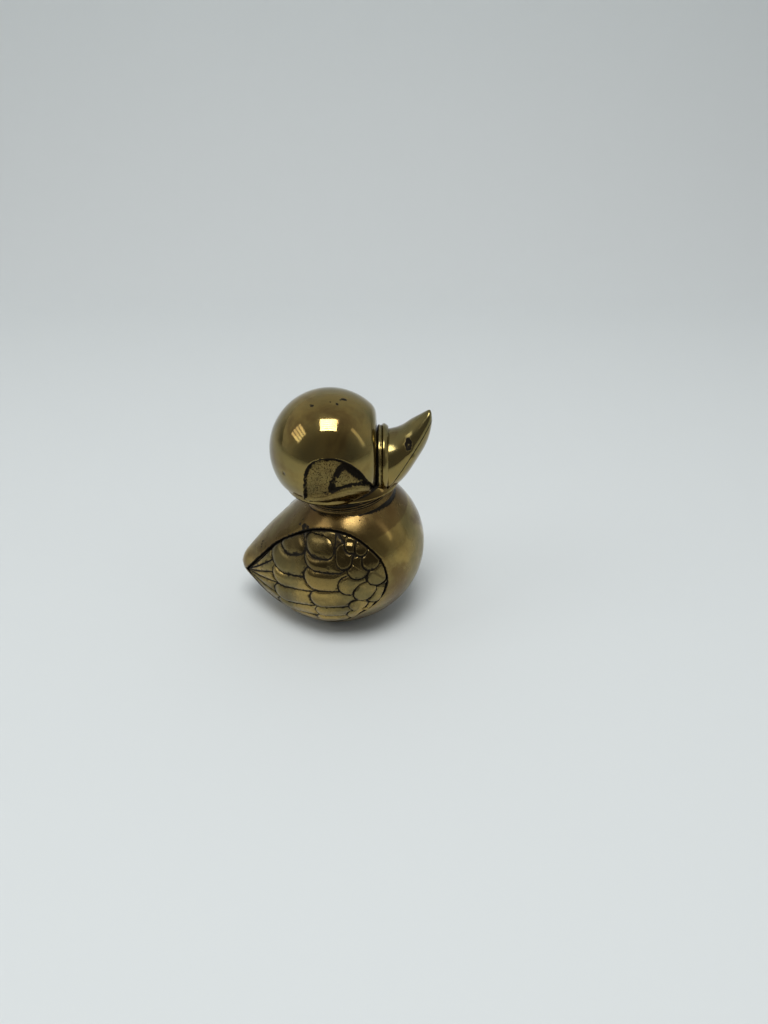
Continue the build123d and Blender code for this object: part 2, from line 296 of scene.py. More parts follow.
class Tree:
    """Adds nodes to a tree and joins them."""

    def __init__(self, tree: bpy.types.NodeTree) -> None:
        """Wrap a node tree."""
        self.tree = tree

    def add(self, kind: str, inputs: Optional[dict[Any, Any]] = None, **settings: Any) -> bpy.types.Node:
        """Add a node.

        Args:
            kind: The node's type name.
            inputs: Values or sockets for its inputs, by name or number.
            **settings: The node's own properties.

        Returns:
            The new node.
        """
        node = self.tree.nodes.new(kind)
        for key, value in settings.items():
            setattr(node, key, value)
        return self.feed(node, inputs or {})

    def feed(self, node: bpy.types.Node, inputs: dict[Any, Any]) -> bpy.types.Node:
        """Set a node's inputs: a socket is joined, and anything else is the input's value."""
        for key, value in inputs.items():
            if isinstance(value, bpy.types.NodeSocket):
                self.tree.links.new(value, node.inputs[key])
            else:
                node.inputs[key].default_value = value
        return node

    def math(
        self, operation: str, first: Any, second: Any = 0.0, clamp: bool = False
    ) -> bpy.types.NodeSocket:
        """The result of a sum, product or other operation."""
        return self.add(
            "ShaderNodeMath", {0: first, 1: second}, operation=operation, use_clamp=clamp
        ).outputs[0]

    def span(
        self, value: Any, low: Any, high: Any, to_low: Any = 0.0, to_high: Any = 1.0
    ) -> bpy.types.NodeSocket:
        """A value carried smoothly from one range to another."""
        inputs = {"Value": value, "From Min": low, "From Max": high, "To Min": to_low, "To Max": to_high}
        return self.add("ShaderNodeMapRange", inputs, interpolation_type="SMOOTHSTEP").outputs[0]

    def mix(self, factor: Any, first: Any, second: Any) -> bpy.types.NodeSocket:
        """A colour between two colours."""
        return self.add("ShaderNodeMix", {0: factor, 6: first, 7: second}, data_type="RGBA").outputs[2]

    def noise(self, vector: Any, scale: Any, detail: float, **more: float) -> bpy.types.NodeSocket:
        """A noise texture's number, with more of its inputs given by their names in small letters."""
        inputs = {"Vector": vector, "Scale": scale, "Detail": detail}
        inputs.update({key.title(): value for key, value in more.items()})
        return self.add("ShaderNodeTexNoise", inputs).outputs[0]

    def bump(self, height: Any) -> bpy.types.NodeSocket:
        """The normal that a height in metres gives."""
        return self.add("ShaderNodeBump", {"Height": height, "Strength": 1.0, "Distance": 1.0}).outputs[0]

    def close(self, value: bpy.types.NodeSocket) -> bpy.types.NodeTree:
        """Lead a value to the group's output and give the group back."""
        self.add("NodeGroupOutput", {0: value})
        return self.tree

    def close_piece(
        self, geometry: bpy.types.NodeSocket, material: bpy.types.Material
    ) -> bpy.types.NodeTree:
        """End a Geometry Nodes tree with real meshes in their material."""
        whole = self.add("GeometryNodeRealizeInstances", {"Geometry": geometry})
        painted = self.add("GeometryNodeSetMaterial", {"Geometry": whole.outputs[0], "Material": material})
        return self.close(painted.outputs[0])


def start_group(kind: str, name: str, inputs: dict[str, Any], output: tuple[str, str]) -> tuple[Tree, Any]:
    """Start a node group.

    Args:
        kind: The tree's type name.
        name: The group's name.
        inputs: Input names, each with its default number, or with its socket's type.
        output: Name and socket type of what it puts out.

    Returns:
        The wrapped tree and the sockets of its inputs.
    """
    group = bpy.data.node_groups.new(name, kind)
    for key, value in inputs.items():
        typed = isinstance(value, str)
        socket_type = value if typed else "NodeSocketFloat"
        socket = group.interface.new_socket(name=key, in_out="INPUT", socket_type=socket_type)
        if not typed:
            socket.default_value = value
    group.interface.new_socket(name=output[0], in_out="OUTPUT", socket_type=output[1])
    tree = Tree(group)
    return tree, tree.add("NodeGroupInput").outputs


def start_effect(name: str, output: str, **inputs: float) -> tuple[Tree, Any]:
    """Start a shader node group that reads a place and some numbers."""
    named: dict[str, Any] = {"Vector": "NodeSocketVector"}
    named.update({key.replace("_", " ").title(): value for key, value in inputs.items()})
    return start_group("ShaderNodeTree", name, named, (output, "NodeSocketFloat"))


def make_pits_group() -> bpy.types.NodeTree:
    """Small casting pits, scattered so that most places have none."""
    tree, given = start_effect("casting_pits", "Mask", scale=400.0, amount=0.1, size=0.3)
    cells = tree.add("ShaderNodeTexVoronoi", {"Vector": given["Vector"], "Scale": given["Scale"]})
    chance = tree.add("ShaderNodeSeparateColor", {"Color": cells.outputs["Color"]})
    chosen = tree.math("GREATER_THAN", chance.outputs[0], tree.math("SUBTRACT", 1.0, given["Amount"]))
    size = tree.math("MULTIPLY", given["Size"], chance.outputs[1])
    spot = tree.span(cells.outputs["Distance"], 0.0, size, 1.0, 0.0)
    return tree.close(tree.math("MULTIPLY", spot, chosen))


def make_film_group() -> bpy.types.NodeTree:
    """Soft clouds of tarnish."""
    tree, given = start_effect("tarnish_film", "Mask", scale=60.0, middle=0.5, spread=0.2)
    clouds = tree.noise(given["Vector"], given["Scale"], 5.0, roughness=0.6, distortion=0.4)
    low = tree.math("SUBTRACT", given["Middle"], given["Spread"])
    high = tree.math("ADD", given["Middle"], given["Spread"])
    return tree.close(tree.span(clouds, low, high))


def make_scratch_group() -> bpy.types.NodeTree:
    """Fine marks that polishing leaves, long one way and narrow the other."""
    tree, given = start_effect("polish_marks", "Height", scale=900.0)
    heights = []
    for turn in ((0.3, 0.5, 0.2), (1.2, 0.1, 1.0)):
        turned = tree.add("ShaderNodeMapping", {
            "Vector": given["Vector"], "Rotation": turn, "Scale": (1.0, 0.06, 1.0),
        })
        heights.append(tree.span(tree.noise(turned.outputs[0], given["Scale"], 2.0), 0.45, 0.7))
    return tree.close(tree.math("ADD", heights[0], heights[1]))


def make_groove_group() -> bpy.types.NodeTree:
    """Black patina in the grooves, and painted shade, with a ragged border."""
    tree, given = start_effect(
        "groove_patina", "Mask", cavity=0.0, ragged=0.4, scale=1300.0, patch_scale=190.0
    )
    grain = tree.noise(given["Vector"], given["Scale"], 4.0, roughness=0.65)
    shift = tree.math("MULTIPLY", tree.math("SUBTRACT", grain, 0.5), given["Ragged"])
    shift = tree.math("MULTIPLY", shift, tree.math("MULTIPLY", given["Cavity"], 4.0, clamp=True))
    patches = tree.noise(given["Vector"], given["Patch Scale"], 3.0)
    strength = tree.span(patches, 0.3, 0.7, 0.62, 1.12)
    edge = tree.math("ADD", tree.math("MULTIPLY", given["Cavity"], strength), shift)
    return tree.close(tree.span(edge, 0.28, 0.62))


class Effect(Enum):
    """The effects that more than one finish shares."""

    PITS = "casting_pits"
    FILM = "tarnish_film"
    MARKS = "polish_marks"
    GROOVE = "groove_patina"


EFFECT_MAKERS: dict[Effect, Callable[[], bpy.types.NodeTree]] = {
    Effect.PITS: make_pits_group,
    Effect.FILM: make_film_group,
    Effect.MARKS: make_scratch_group,
    Effect.GROOVE: make_groove_group,
}


def place_effect(tree: Tree, effect: Effect, vector: Any, **inputs: Any) -> bpy.types.NodeSocket:
    """Put a shared effect into a material, with its own values, and give its result."""
    group = bpy.data.node_groups.get(effect.value) or EFFECT_MAKERS[effect]()
    named = {key.title(): value for key, value in inputs.items()}
    return tree.add("ShaderNodeGroup", {"Vector": vector, **named}, node_tree=group).outputs[0]


def start_material(name: str) -> tuple[bpy.types.Material, Tree, bpy.types.Node, bpy.types.NodeSocket]:
    """Start a material: itself, its wrapped tree, its shader and the place on the object."""
    material = bpy.data.materials.new(name)
    material.use_nodes = True
    tree = Tree(material.node_tree)
    place = tree.add("ShaderNodeTexCoord").outputs["Object"]
    return material, tree, material.node_tree.nodes["Principled BSDF"], place


# Finishes

@dataclass(frozen=True)
class AgedBrass:
    """Old cast brass, polished on the high places and black in the grooves.

    Colours are linear. Scales are repeats for each metre, and heights are in metres.
    """

    name: str
    gold: Colour = (0.34, 0.235, 0.07, 1.0)
    olive: Colour = (0.2, 0.165, 0.065, 1.0)
    brown: Colour = (0.125, 0.074, 0.026, 1.0)
    # The black of the patina, also used for painted shade.
    patina_and_shade: Colour = (0.012, 0.009, 0.005, 1.0)
    polish: float = 0.08
    haze: float = 0.24
    matte_roughness: float = 0.62
    dirt_gleam: float = 0.12
    olive_scale: float = 38.0
    brown_scale: float = 85.0
    brown_middle: float = 0.62
    pit_amount: float = 0.05
    pit_scale: float = 330.0
    mark_depth: float = 0.0000022
    pit_depth: float = 0.00012
    wave_scale: float = 120.0
    wave_depth: float = 0.00004
    ragged: float = 1.5
    stipple_scale: float = 2600.0
    stipple_depth: float = 0.00011

    def make(self) -> bpy.types.Material:
        """Build the material.

        Returns:
            A material that reads the layers darkness, matte and browning of the mesh it is on.
        """
        material, tree, shader, place = start_material(self.name)
        cavity, matte, tarnish = (
            tree.add("ShaderNodeAttribute", attribute_name=name).outputs["Fac"]
            for name in ("cavity", "matte", "tarnish")
        )
        olive = place_effect(tree, Effect.FILM, place, scale=self.olive_scale, middle=0.5, spread=0.16)
        brown = place_effect(
            tree, Effect.FILM, place, scale=self.brown_scale, middle=self.brown_middle, spread=0.12
        )
        pits = place_effect(tree, Effect.PITS, place, scale=self.pit_scale, amount=self.pit_amount, size=0.42)
        marks = place_effect(tree, Effect.MARKS, place)
        groove = place_effect(tree, Effect.GROOVE, place, cavity=cavity, ragged=self.ragged)
        stipple = tree.noise(place, self.stipple_scale, 3.0, roughness=0.7)
        speck = tree.math("MULTIPLY", tree.span(stipple, 0.5, 0.62), tree.math("MULTIPLY", matte, 0.9))
        colour = tree.mix(olive, self.gold, self.olive)
        # Browning: painted shade on the neck ring, a painted dark reflection on the body round the ring, and
        # browner upper wings.
        browning_share = tree.math("MULTIPLY", tarnish, tree.span(olive, 0.0, 1.0, 1.0, 0.6))
        colour = tree.mix(tree.math("MAXIMUM", tree.math("MULTIPLY", brown, 0.75), browning_share), colour, self.brown)
        dark = tree.math("MAXIMUM", groove, tree.math("MULTIPLY", pits, 0.85))
        dark = tree.math("MAXIMUM", dark, speck)
        shine = tree.span(olive, 0.0, 1.0, self.polish, self.haze)
        shine = tree.math("ADD", shine, tree.math("MULTIPLY", matte, self.matte_roughness - self.haze))
        wave = tree.noise(place, self.wave_scale, 1.0, roughness=0.4)
        height = tree.math("MULTIPLY", wave, self.wave_depth)
        height = tree.math("ADD", height, tree.math("MULTIPLY", marks, self.mark_depth))
        height = tree.math("SUBTRACT", height, tree.math("MULTIPLY", pits, self.pit_depth))
        grain = tree.math("MULTIPLY", tree.math("MULTIPLY", stipple, matte), self.stipple_depth)
        # The darkness layer holds patina in the hollows together with painted shade; both go to the same
        # black.
        tree.feed(shader, {
            "Base Color": tree.mix(dark, colour, self.patina_and_shade),
            "Roughness": tree.math("ADD", shine, tree.math("MULTIPLY", dark, 0.35), clamp=True),
            "Metallic": tree.math("SUBTRACT", 1.0, tree.math("MULTIPLY", dark, 0.7)),
            "Specular IOR Level": self.dirt_gleam,
            "Normal": tree.bump(tree.math("ADD", height, grain)),
        })
        return material


@dataclass(frozen=True)
class TurnedSteel:
    """Plain turned steel of the screw and its washer."""

    name: str
    bright: Colour = (0.46, 0.45, 0.43, 1.0)
    dull: Colour = (0.24, 0.2, 0.16, 1.0)
    mark_depth: float = 0.000004

    def make(self) -> bpy.types.Material:
        """Build the material."""
        material, tree, shader, place = start_material(self.name)
        film = place_effect(tree, Effect.FILM, place, scale=300.0, middle=0.55, spread=0.15)
        marks = place_effect(tree, Effect.MARKS, place, scale=1500.0)
        tree.feed(shader, {
            "Base Color": tree.mix(film, self.bright, self.dull),
            "Roughness": tree.span(film, 0.0, 1.0, 0.3, 0.55),
            "Metallic": 1.0,
            "Normal": tree.bump(tree.math("MULTIPLY", marks, self.mark_depth)),
        })
        return material


def dress(item: bpy.types.Object, material: bpy.types.Material, slot: str, *nodes: str) -> None:
    """Give a new piece its material and its body, hide the CAD nodes it stands for, and log its slot."""
    item.data.materials.clear()
    item.data.materials.append(material)
    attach(item, BODY_NAME)
    if nodes:
        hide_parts(*nodes)
    faces = len(item.data.polygons)
    log.info("%s: %d faces, slot %s, stands for %s", item.name, faces, slot, ", ".join(nodes) or "no node")


# Body

@dataclass
class DropBody:
    """The drop-shaped body shell. Sizes in millimetres, shares of the length and radius."""

    tail_x: float = -29.95
    length: float = 58.8
    radius: float = 24.5
    breast_share: float = 0.574
    tail_rise: float = 15.6
    breast_rise: float = 23.5
    wall: float = 3.0
    tail_wall_share: float = 1.5
    rear_places: Sequence[float] = (0.018, 0.0507, 0.118, 0.2027, 0.304, 0.422)
    rear_radii: Sequence[float] = (0.115, 0.212, 0.384, 0.566, 0.742, 0.914)
    rise_places: Sequence[float] = (0.0, 0.118, 0.2027, 0.304, 0.422, 0.574, 0.726, 0.861, 1.0)
    rises: Sequence[float] = (0.0, 0.05, 0.12, 0.28, 0.53, 0.8, 0.92, 0.98, 1.0)
    breast_angles: Sequence[float] = (0, 20, 38, 54, 67, 78, 86)
    foot_x: float = 0.2
    foot_depth: float = 2.5
    mouth_radius: float = 9.0
    neck: Sequence[float] = (6.0, 0.0, 42.0)
    neck_tilt: float = 9.0
    neck_radius: float = 13.5
    deck: float = 3.5
    bed_depth: float = 1.3
    bed_round: float = 0.7
    bed_roll: float = 0.22
    edge_dirt: float = 0.3
    seat_line: float = 0.28
    inner_depths: Sequence[float] = (1.6, 2.6)
    foot_shade: Sequence[float] = (0.7, 1.6)
    dark_reflection_start: float = 0.6
    dark_reflection_reach: float = 6.5
    marks: Sequence[Sequence[float]] = (
        (-7.6, -10.9, 37.0, 0.8), (-9.0, -9.2, 36.5, 0.45), (-6.4, -11.9, 37.4, 0.45),
        (-7.9, -8.4, 37.6, 0.4), (-21.9, -3.6, 25.9, 0.35), (-22.1, -4.3, 25.3, 0.3),
        (-22.3, -5.0, 24.7, 0.3), (-21.2, -4.1, 25.5, 0.25),
    )
    rings: int = 216
    around: int = 356
    _lookup: np.ndarray = field(init=False, repr=False)

    def __post_init__(self) -> None:
        """Keep a fine table of the outer form for looking up sizes."""
        self._lookup = self.profile(0.0, 4000)

    def profile(self, inset: float, count: int) -> np.ndarray:
        """The form's place along X, radius and middle height, from tail to breast.

        Args:
            inset: How much smaller the form is made all round.
            count: How many stations are wanted.

        Returns:
            One row for each station.
        """
        start = self.tail_x + self.tail_wall_share * inset
        length = self.tail_x + self.length - inset - start
        radius = self.radius - inset
        angles = np.radians(self.breast_angles)
        places = [0.0, *self.rear_places]
        sizes = [0.0, *self.rear_radii]
        places += list(self.breast_share + (1 - self.breast_share) * np.sin(angles)) + [1.0]
        sizes += list(np.cos(angles)) + [0.0]
        heights = self.tail_rise + (self.breast_rise - self.tail_rise) * np.interp(
            places, self.rise_places, self.rises
        )
        table = np.stack([start + np.array(places) * length, np.array(sizes) * radius, heights], axis=1)
        rows = through(table, count)
        rows[:, 1] = np.maximum(rows[:, 1], 0)
        return rows

    def rings_of(self, inset: float, rings: int, around: int) -> tuple[np.ndarray, np.ndarray, np.ndarray]:
        """Rings of the form and its two poles."""
        rows = self.profile(inset, rings + 2)
        angles = np.linspace(0, 2 * math.pi, around, endpoint=False)
        x, size, middle = (rows[1:-1, i, None] for i in range(3))
        skin = np.stack([
            np.broadcast_to(x, (rings, around)), size * np.cos(angles), middle + size * np.sin(angles),
        ], axis=2)
        poles = [np.array([row[0], 0.0, row[2]]) for row in (rows[0], rows[-1])]
        return skin, poles[0], poles[1]

    def flank(self, x: np.ndarray, z: np.ndarray) -> np.ndarray:
        """Points of the right flank, from their place in the side view."""
        radius = np.interp(x, self._lookup[:, 0], self._lookup[:, 1])
        middle = np.interp(x, self._lookup[:, 0], self._lookup[:, 2])
        out = np.sqrt(np.maximum(radius**2 - (z - middle)**2, (radius / 2)**2))
        return np.stack([x, -out, z], axis=-1)

    def flank_normal(self, x: np.ndarray, z: np.ndarray, probe: float = 0.2) -> np.ndarray:
        """Outward directions of the right flank."""
        along = self.flank(x + probe, z) - self.flank(x - probe, z)
        upward = self.flank(x, z + probe) - self.flank(x, z - probe)
        normal = np.cross(along, upward)
        return normal / np.linalg.norm(normal, axis=-1, keepdims=True)

    def hollow(self) -> bpy.types.Mesh:
        """The space inside, flat above the foot and under the deck."""
        skin, tail, breast = self.rings_of(self.wall, 60, 96)
        lean = math.tan(math.radians(self.neck_tilt))
        lid = self.neck[2] - self.deck + (skin[..., 0] - self.neck[0]) * lean
        skin[..., 2] = np.clip(skin[..., 2], self.foot_depth, lid)
        return ring_mesh("hollow", skin, tail, breast)

    def mouth(self) -> bpy.types.Mesh:
        """The round opening through the foot."""
        work = bmesh.new()
        bmesh.ops.create_cone(
            work, cap_ends=True, segments=128, radius1=self.mouth_radius * MM,
            radius2=self.mouth_radius * MM, depth=4 * self.foot_depth * MM,
        )
        bmesh.ops.translate(work, verts=work.verts, vec=(self.foot_x * MM, 0, 0))
        mesh = bpy.data.meshes.new("mouth")
        work.to_mesh(mesh)
        work.free()
        return mesh

    def bed(self, outline: np.ndarray, side: float) -> bpy.types.Mesh:
        """The cutter of a wing's bed.

        Args:
            outline: The wing's outline in the side view.
            side: -1 for the right wing, 1 for the left.

        Returns:
            A prism of the outline, hollowed to the bed's floor.
        """
        reach = 2 * self.radius
        rows = np.array([
            [(x, side * y, z) for x, z in outline] for y in (0.5, 0.5 * reach, reach)
        ])
        middle = outline.mean(0)
        ends = [np.array([middle[0], side * y, middle[1]]) for y in (0.5, reach)]
        prism = ring_mesh("bed", rows, ends[0], ends[1])
        skin, tail, breast = self.rings_of(self.bed_depth, 120, 160)
        return carve(prism, ring_mesh("bed_floor", skin, tail, breast))

    def build(self, outline: np.ndarray) -> bpy.types.Mesh:
        """The body shell with its foot, hollow, mouth and wing beds.

        Args:
            outline: The wing's outline in the side view.

        Returns:
            The finished mesh with its layers.
        """
        skin, tail, breast = self.rings_of(0.0, self.rings, self.around)
        flat = skin.reshape(-1, 3)
        outside = -depth_inside(flat[:, [0, 2]], outline)
        near = np.clip(1 - np.abs(outside) / self.bed_round, 0, 1)**2
        out = flat - np.stack([flat[:, 0], np.zeros(len(flat)), np.interp(
            flat[:, 0], self._lookup[:, 0], self._lookup[:, 2])], axis=1)
        size = np.maximum(np.hypot(out[:, 1], out[:, 2]), 1e-6)
        flat = flat - self.bed_roll * near[:, None] * out / size[:, None]
        mesh = ring_mesh("body_shell", flat.reshape(skin.shape), tail, breast)
        reach = 2 * self.radius
        mesh = carve(mesh, block((-reach, -reach, -reach), (reach, reach, 0)))
        for cutter in (self.hollow(), self.mouth(), self.bed(outline, -1), self.bed(outline, 1)):
            mesh = carve(mesh, cutter)
        settle(mesh)
        self.mark(mesh, outline)
        return mesh

    def mark(self, mesh: bpy.types.Mesh, outline: np.ndarray) -> None:
        """Write where the shell is black in its grooves, where shade and a dark reflection are painted on it,
        and where it is left rough.
        """
        points = points_of(mesh)
        outside = -depth_inside(points[:, [0, 2]], outline)
        cavity = np.where(outside < 0, 1.0, 0.9 * fade(np.maximum(outside, 0), self.edge_dirt))
        local = points - np.array(self.neck)
        lean = math.radians(self.neck_tilt)
        height = local[:, 2] * math.cos(lean) - local[:, 0] * math.sin(lean)
        across = np.hypot(local[:, 0] * math.cos(lean) + local[:, 2] * math.sin(lean), local[:, 1])
        seat = np.where(height > -2, fade(np.abs(across - self.neck_radius), self.seat_line), 0) * 0.8
        middle = np.interp(points[:, 0], self._lookup[:, 0], self._lookup[:, 2])
        radius = np.interp(points[:, 0], self._lookup[:, 0], self._lookup[:, 1])
        sunk = radius - np.hypot(points[:, 1], points[:, 2] - middle)
        within = ramp(sunk, *self.inner_depths) * (outside > 0)
        # Painted shade: the shell darkens towards the ground.
        foot = fade(np.maximum(points[:, 2], 0), self.foot_shade[1]) * self.foot_shade[0]
        spots = near_marks(points, self.marks) * MARK_STRENGTH
        # Painted reflection: the body turns dark brown round the neck ring, where it mirrors the head's dark
        # underside.
        past_ring = across - self.neck_radius - self.dark_reflection_start
        write_layers(
            mesh, cavity=np.maximum.reduce([cavity, seat, foot, within * 0.35, spots]),
            matte=np.maximum(within, fade(np.maximum(outside, 0), self.edge_dirt) * 0.5),
            tarnish=fade(np.maximum(past_ring, 0), self.dark_reflection_reach) * (height > -6),
        )


# Wings

@dataclass
class FeatherRow:
    """One row of feathers and how they stand: millimetres and shares."""

    crown: float
    shoulder: float
    lift: float
    feathers: Sequence[tuple[tuple[float, float], tuple[float, float], float]]


@dataclass
class FeatheredWing:
    """A wing panel with overlapping feathers. Places are shares of its length and height."""

    body: DropBody
    tip_x: float = -28.2
    length: float = 45.3
    foot_z: float = 3.6
    height: float = 35.9
    gap: float = 0.25
    thickness: float = 1.15
    sink: float = 0.36
    edge_round: float = 0.5
    edge_drop: float = 0.25
    groove_depth: float = 0.08
    groove_width: float = 0.2
    lean_share: float = 0.25
    line_dirt: float = 0.26
    valley_patina_and_shade: Sequence[float] = (0.44, 1.0)
    edge_dirt: float = 0.25
    rib_dirt: Sequence[float] = (0.14, 0.3, 0.7)
    bare_dirt: float = 0.42
    low_edge_shade: float = 0.2
    matte: float = 0.16
    tarnish_heights: Sequence[float] = (0.45, 0.78)
    tarnish: float = 0.95
    along: int = 300
    across: int = 210
    under: int = 14
    leaf: Pairs = (
        (0.0, 0.32), (0.10, 0.495), (0.18, 0.615), (0.28, 0.74), (0.36, 0.82), (0.45, 0.905),
        (0.56, 0.975), (0.68, 1.0), (0.79, 0.97), (0.885, 0.885), (0.965, 0.765), (1.0, 0.61),
        (0.99, 0.485), (0.945, 0.375), (0.85, 0.26), (0.75, 0.145), (0.67, 0.065), (0.56, 0.012),
        (0.455, 0.0), (0.35, 0.035), (0.26, 0.09), (0.17, 0.16), (0.08, 0.245), (0.0, 0.32),
    )
    ribs: Sequence[Pairs] = (
        ((0.0, 0.32), (0.34, 0.86), (0.34, 0.67)),
        ((0.0, 0.32), (0.34, 0.73), (0.31, 0.50)),
        ((0.0, 0.32), (0.31, 0.56), (0.31, 0.36)),
        ((0.0, 0.32), (0.31, 0.43), (0.34, 0.19)),
        ((0.0, 0.32), (0.34, 0.26), (0.40, -0.02)),
    )
    rib_crown: float = 0.4
    rib_shoulder: float = 1.3
    coverts: FeatherRow = field(default_factory=lambda: FeatherRow(0.5, 1.8, 0.3, (
        ((0.62, 0.08), (0.30, 0.03), 0.13), ((0.60, 0.30), (0.245, 0.15), 0.13),
        ((0.57, 0.46), (0.23, 0.285), 0.16), ((0.55, 0.60), (0.22, 0.465), 0.145),
        ((0.54, 0.74), (0.215, 0.60), 0.165),
    )))
    seconds: FeatherRow = field(default_factory=lambda: FeatherRow(0.5, 1.8, 0.3, (
        ((0.84, 0.20), (0.52, 0.12), 0.12), ((0.86, 0.31), (0.515, 0.255), 0.125),
        ((0.82, 0.47), (0.485, 0.405), 0.155), ((0.78, 0.655), (0.45, 0.60), 0.165),
        ((0.74, 0.79), (0.455, 0.755), 0.13),
    )))
    crests: FeatherRow = field(default_factory=lambda: FeatherRow(0.6, 2.0, 0.1, (
        ((0.45, 0.85), (0.28, 0.735), 0.115), ((0.655, 0.885), (0.465, 0.85), 0.125),
    )))
    scales: FeatherRow = field(default_factory=lambda: FeatherRow(0.45, 0.9, 0.34, (
        ((0.86, 0.28), (0.735, 0.19), 0.10), ((0.92, 0.40), (0.845, 0.275), 0.10),
        ((0.87, 0.40), (0.75, 0.33), 0.115), ((0.98, 0.52), (0.885, 0.385), 0.115),
        ((0.86, 0.65), (0.685, 0.555), 0.145), ((0.91, 0.59), (0.80, 0.44), 0.135),
        ((1.0, 0.72), (0.89, 0.585), 0.14), ((0.86, 0.82), (0.77, 0.665), 0.145),
        ((0.72, 0.93), (0.72, 0.735), 0.11), ((0.90, 0.90), (0.895, 0.71), 0.12),
        ((0.77, 0.99), (0.765, 0.86), 0.085), ((0.84, 0.97), (0.83, 0.83), 0.085),
    )))

    def place(self, share: tuple[float, float], inset: float = 0.0) -> np.ndarray:
        """A point of the side view from shares of the wing's length and height."""
        return np.array([
            self.tip_x + inset + share[0] * (self.length - 2 * inset),
            self.foot_z + inset + share[1] * (self.height - 2 * inset),
        ])

    def outline(self, inset: float = 0.0, count: int = 240) -> np.ndarray:
        """The leaf outline, from the tip over the top and back."""
        corners = np.array([self.place(share, inset) for share in self.leaf])
        return through(corners, count + 1)[:-1]

    def rib_field(self, corners: Pairs, spots: np.ndarray) -> tuple[np.ndarray, np.ndarray, np.ndarray]:
        """How far each spot is outside a wedge-shaped rib, its share along it and a plain zero."""
        points = [self.place(corner) for corner in corners]
        away = np.full(len(spots), -np.inf)
        for first, second, third in ((0, 1, 2), (1, 2, 0), (2, 0, 1)):
            run = points[second] - points[first]
            side = np.array([run[1], -run[0]]) / np.linalg.norm(run)
            if side @ (points[third] - points[first]) > 0:
                side = -side
            away = np.maximum(away, (spots - points[first]) @ side)
        reach = (points[1] + points[2]) / 2 - points[0]
        return away, np.clip((spots - points[0]) @ reach / (reach @ reach), 0, 1), np.zeros(len(spots))

    def tongue_field(
        self, root: tuple[float, float], end: tuple[float, float], width: float, spots: np.ndarray
    ) -> tuple[np.ndarray, np.ndarray, np.ndarray]:
        """How far each spot is outside a round-ended feather, its share along it and how low it is."""
        low, high = self.place(root), self.place(end)
        radius = width * self.length / 2
        run = (high - low) / np.linalg.norm(high - low)
        low, high = low + run * radius, high - run * radius
        line = high - low
        share = (spots - low) @ line / (line @ line)
        near = low + np.clip(share, 0, 1)[:, None] * line
        below = np.clip((near[:, 1] - spots[:, 1]) / radius, -1, 1)
        return np.linalg.norm(spots - near, axis=1) - radius, np.clip(share, 0, 1), below

    def relief(self, spots: np.ndarray) -> tuple[np.ndarray, np.ndarray]:
        """Height above the body's flank and darkening, at spots of the side view.

        Args:
            spots: Points of the side view in millimetres.

        Returns:
            Heights in millimetres, and darkening from 0 to 1: black in the grooves, with painted shade.
        """
        fields = [(*self.rib_field(rib, spots), self.rib_crown, self.rib_shoulder, 0.0) for rib in self.ribs]
        for row in (self.coverts, self.seconds, self.crests, self.scales):
            for root, end, width in row.feathers:
                fields.append(
                    (*self.tongue_field(root, end, width, spots), row.crown, row.shoulder, row.lift)
                )
        away = np.array([item[0] for item in fields])
        order = np.arange(len(fields))[:, None]
        top = np.where(away < 0, order, -1).max(0)
        nearest = np.sort(away, axis=0)[:2]
        free = top < 0
        top = np.where(free, away.argmin(0), top)
        pick = np.arange(len(spots))
        over = np.where(order > top[None], away, np.inf).min(0)
        border = np.where(free, (nearest[1] - nearest[0]) / 2, np.minimum(-away[top, pick], over))
        share, below = (np.array([item[i] for item in fields])[top, pick] for i in (1, 2))
        crown, shoulder, lift = (np.array([item[i] for item in fields])[top] for i in (3, 4, 5))
        rounded = pillow(border, shoulder)
        height = crown * rounded + lift * (share - 0.5 + self.lean_share * below) * rounded - self.sink
        height -= self.groove_depth * fade(border, self.groove_width)
        edge = line_distance(spots, np.vstack([self.outline(self.gap), self.outline(self.gap)[:1]]))
        height -= self.edge_drop * (1 - np.clip(edge / self.edge_round, 0, 1))**2
        # Broad darkening round each feather: patina in the valleys together with painted shade.
        strength, width = self.valley_patina_and_shade
        grooves_and_shade = np.maximum(fade(border, self.line_dirt), strength * fade(border, width))
        grooves_and_shade = np.maximum(grooves_and_shade, fade(edge, self.edge_dirt))
        base, strength, width = self.rib_dirt
        on_rib = np.maximum(grooves_and_shade, base + strength * fade(border, width))
        grooves_and_shade = np.where(top < len(self.ribs), on_rib, grooves_and_shade)
        # Painted shade: each feather is darker towards its lower edge.
        low = grooves_and_shade + self.low_edge_shade * ramp(below, 0.25, 1.0)
        grooves_and_shade = np.where(free, np.maximum(grooves_and_shade, self.bare_dirt), low)
        return height, grooves_and_shade

    def grid(self) -> tuple[np.ndarray, np.ndarray]:
        """Spots of the panel's face and of its back, in rows along the wing."""
        line = self.outline(self.gap, 1600)
        front = int(line[:, 0].argmax())
        upper, lower = line[:front + 1], np.vstack([line[front:], line[:1]])[::-1]
        share = np.sin(np.linspace(0.004, 0.5 - 0.006, self.along) * math.pi)
        x = line[0, 0] + share * (line[front, 0] - line[0, 0])
        low = np.interp(x, lower[:, 0], lower[:, 1])
        high = np.interp(x, upper[:, 0], upper[:, 1])
        rows = []
        for count in (self.across, self.under):
            steps = np.linspace(0, 1, count)
            z = low[:, None] + (high - low)[:, None] * steps[None]
            rows.append(np.stack([np.broadcast_to(x[:, None], z.shape), z], axis=2))
        return rows[0], rows[1]

